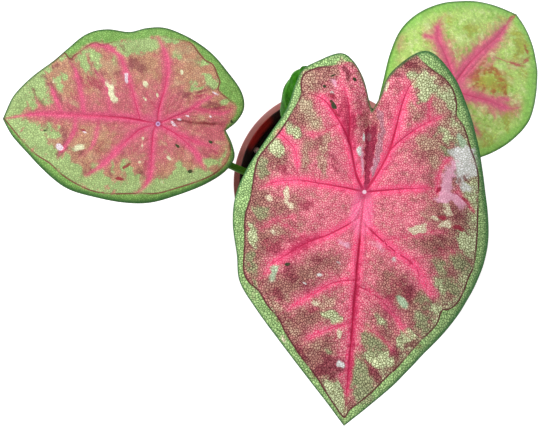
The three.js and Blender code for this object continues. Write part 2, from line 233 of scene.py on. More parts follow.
def cellsOf(tree, where, size, feature):
    inputs = {"Vector": where, "Scale": 1 / size, "Randomness": 1.0}
    return addNode(tree, "ShaderNodeTexVoronoi", inputs, feature=feature, voronoi_dimensions="2D")


def attribute(tree, name):
    return addNode(tree, "ShaderNodeAttribute", attribute_name=name).outputs["Fac"]


def placeOn(tree):
    return addNode(tree, "ShaderNodeTexCoord").outputs["Object"]


def uvOf(tree, name):
    return addNode(tree, "ShaderNodeUVMap", uv_map=name).outputs[0]


def partsOf(tree, vector):
    return addNode(tree, "ShaderNodeSeparateXYZ", {0: vector}).outputs[:3]


def vectorOf(tree, x, y, z=0.0):
    return addNode(tree, "ShaderNodeCombineXYZ", {0: x, 1: y, 2: z}).outputs[0]


def shifted(tree, vector, by):
    return addNode(tree, "ShaderNodeVectorMath", {0: vector, 1: by}, operation="ADD").outputs[0]


def scaled(tree, vector, by):
    inputs = {0: vector, "Scale": by}
    return addNode(tree, "ShaderNodeVectorMath", inputs, operation="SCALE").outputs[0]


def stretched(tree, vector, scale):
    return addNode(tree, "ShaderNodeMapping", {"Vector": vector, "Scale": scale}).outputs[0]


def grey(tree, value):
    return addNode(tree, "ShaderNodeCombineColor", {0: value, 1: value, 2: value}).outputs[0]


def bumpOf(tree, height, distance, strength=1.0):
    inputs = {"Height": height, "Strength": strength, "Distance": distance}
    return addNode(tree, "ShaderNodeBump", inputs).outputs[0]


def finishMaterial(tree, inputs):
    surface = addNode(tree, "ShaderNodeBsdfPrincipled", inputs).outputs[0]
    addNode(tree, "ShaderNodeOutputMaterial", {"Surface": surface})


# camera, light and floor

studio = {
    "eye": (-0.032, -0.017, 0.690),  # straight above, a little to the left of the pot
    "lens": 71.27,
    "film": 36,
    "nearest": 0.01,
    "sky": 0.6,
    "skyTint": (0.97, 0.985, 1, 1),
    "target": (0, 0, 0.15),
    "softboxes": {  # place, size and power
        "key": ((-0.75, 0.45, 1.15), 0.7, 11.7),
        "fill": ((0.9, -0.7, 0.9), 1.0, 1.4),
    },
    "floor": "#fbfbfb",
    "floorSize": 6,
    "floorDrop": 0.0004,
    "floorGlow": 0.42,
}


def makeStudio():
    bpy.ops.object.camera_add(location=studio["eye"], rotation=(0, 0, 0))
    camera = bpy.context.object
    camera.data.lens = studio["lens"]
    camera.data.sensor_width = studio["film"]
    camera.data.clip_start = studio["nearest"]
    bpy.context.scene.camera = camera

    world = bpy.data.worlds.new("studio")
    bpy.context.scene.world = world
    world.use_nodes = True
    backdrop = world.node_tree.nodes["Background"]
    backdrop.inputs["Color"].default_value = studio["skyTint"]
    backdrop.inputs["Strength"].default_value = studio["sky"]

    for name, (place, size, power) in studio["softboxes"].items():
        bpy.ops.object.light_add(type="AREA", location=place)
        light = bpy.context.object
        light.name = name
        light.data.size = size
        light.data.energy = power
        towards = Vector(studio["target"]) - Vector(place)
        light.rotation_euler = towards.to_track_quat("-Z", "Y").to_euler()

    deselectAll()
    bpy.ops.mesh.primitive_plane_add(size=studio["floorSize"], location=(0, 0, -studio["floorDrop"]))
    floor = bpy.context.object
    floor.name = "floor"
    material, tree = newMaterial("paleFloor")
    finishMaterial(tree, {
        "Base Color": colour(studio["floor"]), "Roughness": 0.9, "Specular IOR Level": 0.1,
        "Emission Color": (1, 1, 1, 1), "Emission Strength": studio["floorGlow"]})
    floor.data.materials.append(material)
    bpy.context.scene.view_settings.view_transform = "Standard"


makeStudio()
print("studio ready")


# the leaves, as drawn in plan
# margins: from the notch to the tip, left side and right side. spokes: the lines that the
# blade's net of points is built on. shape: slope, curls, channel, crease at the notch, waves.
# veins: (points, size, flush), midrib first, where flush is how strongly the rose colour
# follows the vein. bound: the line that runs round inside the margin, where the green band
# starts, and boundGaps where it doesn't show.
# flushReach and glowReach: how far the rose colour goes from a vein, and endFade the share of
# it that is lost at the vein's end. centreReach: how far it goes round the stalk's top. heart:
# (a, b, reach along a, reach along b, strength) of the hottest spot.
# rimShadeSide and sideShadeDepth set painted shade: how much wider the dark rim and how much
# darker the blade is on its left side. greenEdge and greenReach: how strong the green just inside
# the bound is, and how far in it goes, where greenSides (0 for a or 1 for b, from, to) lets it.
# greenClear and boundClear: the distances from the notch at which that green and the bound's line
# start.
# marks, rosy and boundGaps are blotches: (a, b, reach along, reach across, strength) and, for
# a turned one, how far it is turned from a towards b, in degrees.

frontLeaf = {
    "name": "frontLeafBlade",
    "node": "front_leaf_blade",
    "slot": "leaf_rose",
    "at": (8.8, -7.7, 228.0),
    "heading": -93.5,
    "rings": 96,
    "columns": 410,
    "leftMargin": [
        (-35, 1), (-41.5, 4), (-50, 6.8), (-57, 13), (-62, 20.5), (-61, 26.5), (-54, 33.6),
        (-47, 38.6), (-37, 43), (-25, 47), (-10, 51.4), (4, 55.2), (15, 57), (28, 56), (43, 51),
        (58, 43.3), (72, 32.4), (86, 21.5), (99, 9.7), (109, 0.5)],
    "rightMargin": [
        (-35, 1), (-39.5, -0.4), (-49, -3.7), (-56, -8.7), (-58.8, -14.5), (-55, -23.8),
        (-51, -29.8), (-44, -32.8), (-33, -36), (-21.5, -43), (-8.5, -50.8), (4, -55.6),
        (17, -56.3), (31, -53.8), (43, -51.9), (54.4, -44.2), (68.8, -32.5), (82.8, -20.9),
        (96.7, -9.3), (109, 0.5)],
    "leftSpokes": [
        [(-12, 6), (-22, 10), (-34, 13), (-46, 17), (-62, 20)],
        [(-9, 8), (-17.5, 14), (-26, 22.5), (-31.5, 32), (-34, 45)],
        [(-2, 15), (-4, 24), (-4, 33), (-1, 43), (7, 56)],
        [(8, 2.5), (18, 7), (25, 17), (33, 27), (44, 36), (58, 43)],
        [(20, 2.5), (42, 5), (50, 13), (60, 24), (70, 33)]],
    "midSpoke": [(34, 0), (62, 0), (86, 0), (109, 0.5)],
    "rightSpokes": [
        [(-11, -4), (-22, -8), (-37, -10), (-48, -13), (-59, -15)],
        [(-10, -6), (-22, -12), (-32, -18), (-38, -25), (-43, -33)],
        [(-2, -11), (-3, -19), (-4, -28), (-2, -39), (5, -56)],
        [(7, -2.5), (15, -9), (22, -20), (30, -32), (43, -51)],
        [(18, -2.8), (34, -5), (41, -13), (49, -24), (61, -38)]],
    "shape": {
        "pitch": 0.16, "tipCurl": 0.0018, "lobeCurl": 0.0035, "sideCurl": 0.003,
        "channel": 2.4, "channelWidth": 10, "crease": 6.5, "creaseWidth": 5, "creaseLength": 33,
        "wave": 1.4, "waves": 4.5, "quilt": 0.8},
    "veins": [
        ([(0, 0), (20, -0.4), (40, -0.6), (62, -0.3), (86, 0), (101, 0.3), (107.5, 0)], 1.3, 1),
        ([(0, 0), (-1.4, 10), (-2.3, 16.3), (-3.4, 28.8), (-2.5, 32.5)], 0.8, 1),
        ([(0, 0), (-7, 4.3), (-17.6, 9), (-27.5, 11.2), (-37, 13), (-46, 16), (-52.8, 21.3)], 1.35, 0.9),
        ([(-18, 9.1), (-23, 13.7), (-28.7, 20.8), (-32.3, 27), (-35.3, 33), (-36, 35)], 0.6, 0.75),
        ([(-32, 25.2), (-38.5, 24.7), (-42, 25.8), (-45, 28)], 0.3, 0.5),
        ([(13, 0), (18, 6), (25, 15.3), (29.5, 23), (37.3, 29.2), (43.3, 33.9), (51, 37.6)], 0.85, 1),
        ([(28, 23.5), (26.5, 29), (25, 37), (24, 42), (23.5, 50)], 0.3, 0.35),
        ([(20, 9.5), (18, 20), (15, 33), (16.5, 40.5)], 0.25, 0.4),
        ([(3, 0.5), (6.6, 6), (10.8, 17.5)], 0.2, 0.2),
        ([(35.5, 28), (34.8, 38.5), (34.8, 48.5)], 0.25, 0.2),
        ([(41, -0.5), (44.5, 7.5), (51, 15.5), (58.5, 21.5), (66.3, 29)], 0.5, 0.6),
        ([(57, 0), (61, 7.5), (66.5, 15.5), (75, 22.5)], 0.3, 0.5),
        ([(71, 0.5), (79, 9), (83.5, 13)], 0.25, 0.2),
        ([(0, 0), (-1.4, -9), (-2.6, -20), (-3.3, -30), (-1.1, -42), (3.8, -48)], 0.8, 0.95),
        ([(0, 0), (-7.8, -4.3), (-21, -8.2), (-30.5, -14), (-37.8, -19.8), (-40.3, -26.6),
          (-38.8, -30.4)], 1.4, 0.9),
        ([(-22, -8.4), (-34, -9), (-43, -11.5), (-50.5, -17)], 0.6, 0.6),
        ([(-30, -8.8), (-34, -5.5), (-32, -2.6)], 0.3, 0.5),
        ([(-28.5, -12.5), (-24, -20.5), (-23, -24.6), (-28, -30)], 0.3, 0.45),
        ([(-22.8, -38), (-17, -31.7), (-9.5, -29.7), (-4.5, -29.4)], 0.35, 0.75),
        ([(10, -0.4), (13.5, -4.6), (19.3, -14), (23, -22.5), (28.5, -30.5), (34, -37.7),
          (42, -42), (46, -43.2)], 0.85, 0.95),
        ([(12.5, -30.3), (14.5, -37), (19.5, -44.5), (23.5, -45)], 0.25, 0.45),
        ([(14.8, -36), (17, -32), (22, -22.5)], 0.25, 0.4),
        ([(46, -43.5), (44.5, -47), (42, -49.5)], 0.25, 0),
        ([(38.5, -0.8), (40.5, -10.5), (45, -17.7), (52.3, -27.6), (58.8, -33)], 0.55, 0.7),
        ([(58, -0.8), (62, -12), (67.4, -21.5), (69.8, -25)], 0.4, 0.6),
        ([(-2.3, 31.8), (-7, 31), (-14.5, 33.3), (-19, 40.3)], 0.2, 0.6),
        ([(-2, 40.2), (1, 43.8), (3.7, 47.4), (8, 50.2)], 0.5, 0.5)],
    "bound": [
        (-36.5, 1.3), (-42, 3.2), (-50.3, 6), (-57.6, 12.4), (-62, 17), (-58, 20.5),
        (-54, 25), (-50.5, 31), (-46, 35), (-40.5, 37), (-35, 37), (-31, 40), (-25.5, 42.5),
        (-21, 44.2), (-15.5, 47), (-8, 49.3), (5, 50.7), (16, 51.3), (28, 51.3), (35.5, 49),
        (41, 47.7), (46.6, 45.5), (49.5, 42), (50.3, 38.7), (55.7, 37.7), (60, 35), (65, 30.6),
        (76.7, 22.4), (82, 17.8), (90, 11.7), (95, 7.4), (100.6, 2), (104.5, 0.2), (99.4, -4.2),
        (92, -9.5), (84.4, -14.7), (75, -22.6), (65, -29.7), (58.2, -33.5), (53, -38.5),
        (46.5, -43), (43, -47.5), (37.6, -50.3), (24, -50.5), (14, -51), (5, -49), (-9, -47.4),
        (-14.6, -45), (-23.4, -38.2), (-34, -32.3), (-40, -29.9), (-45.3, -30.3), (-49.3, -28.6),
        (-51.8, -24), (-52.6, -20), (-53.5, -16), (-55, -12.5), (-55, -8.5), (-52.5, -5.5),
        (-47, -2.4), (-39, 0.6)],
    "boundGaps": [(-60, 16, 8, 7, 1.2), (-55, -9, 6, 5, 1.2)],
    "flushReach": 3.4, "glowReach": 8.5, "endFade": 0.85, "centreReach": 42,
    "heart": (9, -0.5, 17, 8, 1.0),
    "rimShadeSide": 1.6, "sideShadeDepth": 0.22,
    "greenEdge": 0.55, "greenReach": 10, "greenSides": [(1, -10, 30)], "greenClear": (25, 45),
    "boundClear": (24, 29),
    "rosy": [
        (-39, -5, 6, 5, 0.7), (-47, -8, 6, 5, 0.6), (-52, -12, 4, 5, 0.5), (-40, 8, 6, 5, 0.6),
        (-46, 11, 6, 5, 0.6), (-38, -12, 8, 5, 0.5)],
    "marks": {
        "green": [
            (-46.5, 22.5, 6, 4, 1.9, 20), (-44.5, 32, 4.4, 2.4, 1.3, 45), (-39.5, 35, 3.5, 2, 1.1, 50),
            (-26.5, 32.5, 4.5, 2.6, 0.9, 60), (-31, 36.5, 3, 1.5, 0.9, 40),
            (-34.5, -27.5, 5, 2.4, 0.9, 35), (-27.5, -23.5, 2.6, 1.6, 0.8, 50),
            (-24.5, -33, 4.5, 2.2, 1, 50), (-17, -39.5, 5, 2.6, 1.2, 35), (21.5, -47, 6, 1.9, 1.1, 10),
            (18.5, 45.5, 5, 2.5, 1.1, 35), (38.5, 36.5, 3.8, 2.1, 1.2, 40), (49.5, 35, 3.2, 1.7, 1, 55),
            (53, 28.5, 4, 1.8, 0.9, 45), (62.5, 24.5, 3.6, 2, 1.3, 50), (66.5, 22, 3.4, 1.6, 0.9, 35),
            (56, 11.5, 4, 1.8, 0.9, 45), (74, 9.5, 5.4, 2, 1.4, 50), (74, 15.5, 4.4, 2.4, 1.4, 40),
            (1.5, 47.5, 5.5, 2.4, 1, 45), (-5, 45.5, 3.7, 1.7, 0.8, 70), (56, -9.5, 4.3, 2, 1.5, 65),
            (88.5, -7.5, 4.8, 2.6, 1.4, 60), (96.5, -3.5, 7.5, 3, 1.2, 30),
            (55, -36.5, 3, 1.2, 0.5, 60), (86.5, 5, 9, 3, 1.2, 15), (67.5, 11, 4, 2.4, 1, 45),
            (80, 6.5, 5, 2.2, 0.9, 20), (93, -5, 5, 3, 1.1, 30), (-50, 17, 3.4, 2, 0.7, 40)],
        "moss": [
            (-7.5, -44.5, 6, 2.8, 1.1, 15), (12, -44, 5.4, 2.6, 0.9, 40), (34, -47, 6, 2.7, 1, 15),
            (45.5, -45, 5, 1.8, 0.8), (30, 35.5, 5.6, 2.8, 0.8, 25), (28.5, 45.5, 7, 3.4, 1.1, 55),
            (40, 43, 7, 3.2, 1, 45), (46.5, 30, 6, 3, 0.9, 40), (57.5, 31.5, 6.5, 3.2, 1, 35),
            (63.5, 7, 5.8, 2.3, 0.9, 30), (86, 6, 13, 4.4, 1.5, 15), (-19, 34, 5, 2.2, 0.9, 55),
            (68.5, 8.5, 6, 3.6, 0.6, 30), (84, 7.5, 6, 3, 0.6, 15), (66, 12, 7, 4.4, 1, 45),
            (47, 20, 5, 3, 0.7, 45), (72, -9.5, 3.7, 1.5, 0.8, 60)],
        "beige": [
            (-45.5, -26.5, 6, 3.2, 1.2, 15), (-55, -14, 3.2, 1.8, 0.9, 65),
            (-47.5, -5.5, 3.6, 1.2, 0.8, 15), (-32.5, -27, 7, 3.6, 1.2, 30),
            (-28, -23.5, 5, 2.8, 1.2, 50), (8.5, 27, 4.1, 1.7, 0.7, 55), (-48.5, 29, 4.3, 2.1, 1, 45),
            (-38.5, 29, 5, 2.4, 0.9, 35), (-35.5, 17.5, 5.4, 2.8, 0.8, 50),
            (-30, 34.5, 6.2, 2.6, 1, 65), (-22.5, 25.5, 5.5, 2.8, 1.4, 75),
            (-13.5, 30.5, 5, 2.4, 1.1, 60), (-12.5, -26.5, 6.5, 1.6, 1.2, 5),
            (-10.5, -19, 8, 2, 1.4, 5), (-20, -18.5, 4.6, 2, 1.2, 160), (7.5, -32, 3.9, 1.9, 0.9, 60),
            (18.5, -36.5, 4.6, 1.9, 0.8, 60), (48.5, -30.5, 4, 1.9, 0.8, 50),
            (50, -17, 3.8, 1.6, 0.9, 60), (48.5, -12, 5, 2.4, 0.8, 50), (53, -34.5, 3.4, 1.5, 0.8, 55),
            (63, -27, 4.7, 2, 0.9, 50), (70, -16.5, 4.2, 2, 0.9, 65), (64, -6, 3.6, 1, 0.9, 5)],
        "crimson": [
            (-35, -4.5, 6.4, 1.6, 0.7, 15), (-28.5, -7, 6.4, 1.4, 0.8, 15), (-46, 11, 4, 2.4, 0.7, 100),
            (-34.5, 7.5, 7, 2, 0.5, 20), (63.5, 13.5, 6.6, 2, 0.9, 55), (44.5, 13.5, 6.6, 2.3, 0.9, 70),
            (22.5, 35, 8, 1.7, 0.8, 95), (19, 29.5, 6, 1.8, 0.5, 90), (52.5, 15.5, 7, 1.3, 0.7, 45),
            (3.5, 47, 3.6, 0.9, 1, 45), (-8.5, -36.5, 5.6, 2.2, 0.9, 45), (-10, -12.5, 8.4, 2, 0.5, 25),
            (7, -24.5, 4.5, 2, 1, 70), (28, -38, 6.8, 2.5, 1, 55), (22.5, -29.5, 5.8, 2.3, 0.7, 70),
            (54, -20, 5, 1.8, 0.6, 105), (-35.5, -16.5, 6, 1.4, 0.8, 30), (41, 20, 7, 4, 0.7, 45),
            (28, -33, 8, 3, 0.6, 55)],
        "maroon": [
            (-55.5, 16, 5, 1.9, 1, 80), (-50.5, 11, 2.5, 1.2, 1, 70), (-34, 18.5, 3.6, 1.6, 0.5, 50),
            (-16.5, 22, 4.2, 1.9, 0.5, 65), (-8.5, 41.5, 4, 1.6, 1, 85), (7, 41.5, 6, 2.6, 0.6, 50),
            (18.5, 34.5, 6, 2, 0.5, 75), (27, 48.5, 2.4, 1, 1.2, 75), (41, 23, 7.5, 3.5, 0.8, 45),
            (47.5, 23.5, 2.6, 0.8, 0.9, 30), (44, -20, 9, 5, 0.5, 115), (52, 16, 9, 5, 0.55, 50),
            (67, 27.5, 5, 2.1, 1, 90), (72, 20.5, 4.4, 2, 1, 35), (80, 10.5, 6.3, 1.7, 1.1, 45),
            (78.5, 19, 3.2, 1.2, 1, 115), (84.5, 13.5, 3.6, 1.3, 0.8, 20),
            (-21, -20.5, 3.1, 1.2, 1, 25), (30.5, -17.5, 9.5, 3.2, 0.5, 80),
            (38.5, -28.5, 5.6, 2.6, 0.7, 70), (46.5, -35, 5.6, 2.4, 0.8, 60),
            (34.5, -29.5, 4, 2, 0.6, 115), (58, -33.5, 4.3, 1.6, 0.7, 65), (75, -21, 6, 1.8, 0.9, 40),
            (74.5, -11.5, 5.4, 1.8, 0.6, 65), (80.5, -9, 8, 3.8, 1.3, 115), (79, -4.5, 4, 2, 0.9, 50),
            (-47.5, -10, 4.4, 1.6, 0.6, 25), (-51, -11, 3.2, 1.3, 0.6, 60)],
        "deep": [
            (-32, -10, 9, 3.2, 1.1, 15), (25, -25.5, 9, 3, 1, 125), (50, 0, 24, 1.5, 0.9),
            (-22, -8, 7, 2, 0.8, 20), (79, 0.5, 16, 1.5, 0.8)],
        "pale": [
            (15, 24, 3.4, 1.5, 1.4, 85), (12, 36, 3.2, 1.1, 1.5, 105), (5.5, 36.5, 3.2, 1.4, 1.2, 30),
            (9.5, 31, 2.2, 0.7, 1.3, 75), (13, 26.5, 1.8, 0.7, 0.9, 105), (3, -33.5, 4.2, 1.2, 0.9),
            (8, -31.5, 2.5, 1.1, 0.9, 50), (5, -41, 1.8, 1.1, 1.1, 45),
            (-45.5, 6.5, 2.4, 0.7, 1.3, 170), (63.5, -6, 2.6, 0.8, 1.1, 10),
            (50.5, -18, 2, 0.9, 1.1, 95), (19.5, -38.5, 1.7, 0.9, 1, 30),
            (68, -30.5, 2.2, 1.2, 0.8, 35)],
        "mint": [
            (-23.5, 40, 2.6, 2.4, 1.4), (47.5, 21, 3.5, 1.5, 1.5, 45), (38, -37, 4.6, 1.7, 1.4, 160)],
        "white": [
            (-20, 42, 4.8, 1.7, 1.2, 100), (-16.5, 42.5, 7, 3.3, 1.2, 65), (-12, 42.5, 5, 2.6, 1, 85),
            (-8, 41, 3.5, 2, 0.8, 60), (-4.5, 45, 3.6, 1.6, 0.9, 80), (-23.5, -2, 1.7, 0.6, 1.2, 15),
            (-23.5, 0.3, 1.9, 0.8, 1.3, 10), (-17.5, -3.5, 1.7, 1.1, 1.5, 5),
            (37.5, -16.5, 1.1, 0.7, 1.3, 85), (41.5, -23, 0.9, 0.5, 1, 60), (31.5, -9, 1.3, 0.7, 1, 55),
            (28.5, 14.5, 1.4, 0.7, 1, 60), (78, -4, 2, 1.2, 1.3, 45), (-41, -17, 0.9, 0.6, 1.5, 50)],
        # pale lilac patches; those beside the crease and flanking the midrib are painted sheen
        "lilacAndSheen": [
            (-11, 36.5, 6, 2.2, 1.3, 160), (-3.5, 35, 5, 2.1, 1.3), (1, 34, 3.8, 1.5, 1.1, 95),
            (0.5, 40, 5.6, 2.1, 1.3, 55), (-12, 3.5, 4.2, 1.2, 1, 175), (-13, -1.9, 7, 0.6, 1.1, 5),
            (23, -6.5, 3.4, 1.4, 0.7, 70), (23, 7.5, 5.5, 1.7, 0.6, 70), (-45.5, -16, 3, 1.2, 0.8, 35)],
        # painted highlight: a pale lilac-grey strip on the crease's wall that faces the light
        "creaseSheen": [
            (-31.5, 4.5, 5.5, 1.1, 1.2, 15), (-22, 5, 6.5, 1.2, 1.3, 175),
            (-12.5, 3.7, 5.5, 1, 1.3, 170)],
        # deep in the crease between the lobes: crimson colour with painted shade over it
        "creaseShade": [
            (-24, -0.3, 6, 1.2, 1.3), (-22.5, 2.2, 7, 1.3, 1.3), (-14, 0.2, 7, 1.2, 1.3),
            (-15, 1.6, 6, 1.1, 1.2), (-6, 0.5, 5, 0.9, 1.3)],
        "red": [
            (9, 34.5, 2.4, 1.2, 1.5, 75), (13, 42.5, 3.3, 1, 1.4, 75), (-3, 32, 1.7, 0.7, 1.3, 135),
            (0.3, 44.3, 2.1, 0.9, 1.3, 55), (-39.5, -16.3, 2.5, 1.1, 0.9, 50),
            (-32.5, -14.5, 3.6, 0.8, 0.9, 45)],
        "speck": [
            (33.7, -31.3, 2.4, 0.4, 1.6, 100), (-36, -16, 2, 0.9, 1.8, 40),
            (-49, -17, 1.3, 0.4, 1.4, 105), (-43.8, -20.3, 0.8, 0.5, 1.3, 55),
            (-47.5, -7.7, 1, 0.7, 1.6, 40)]},
}

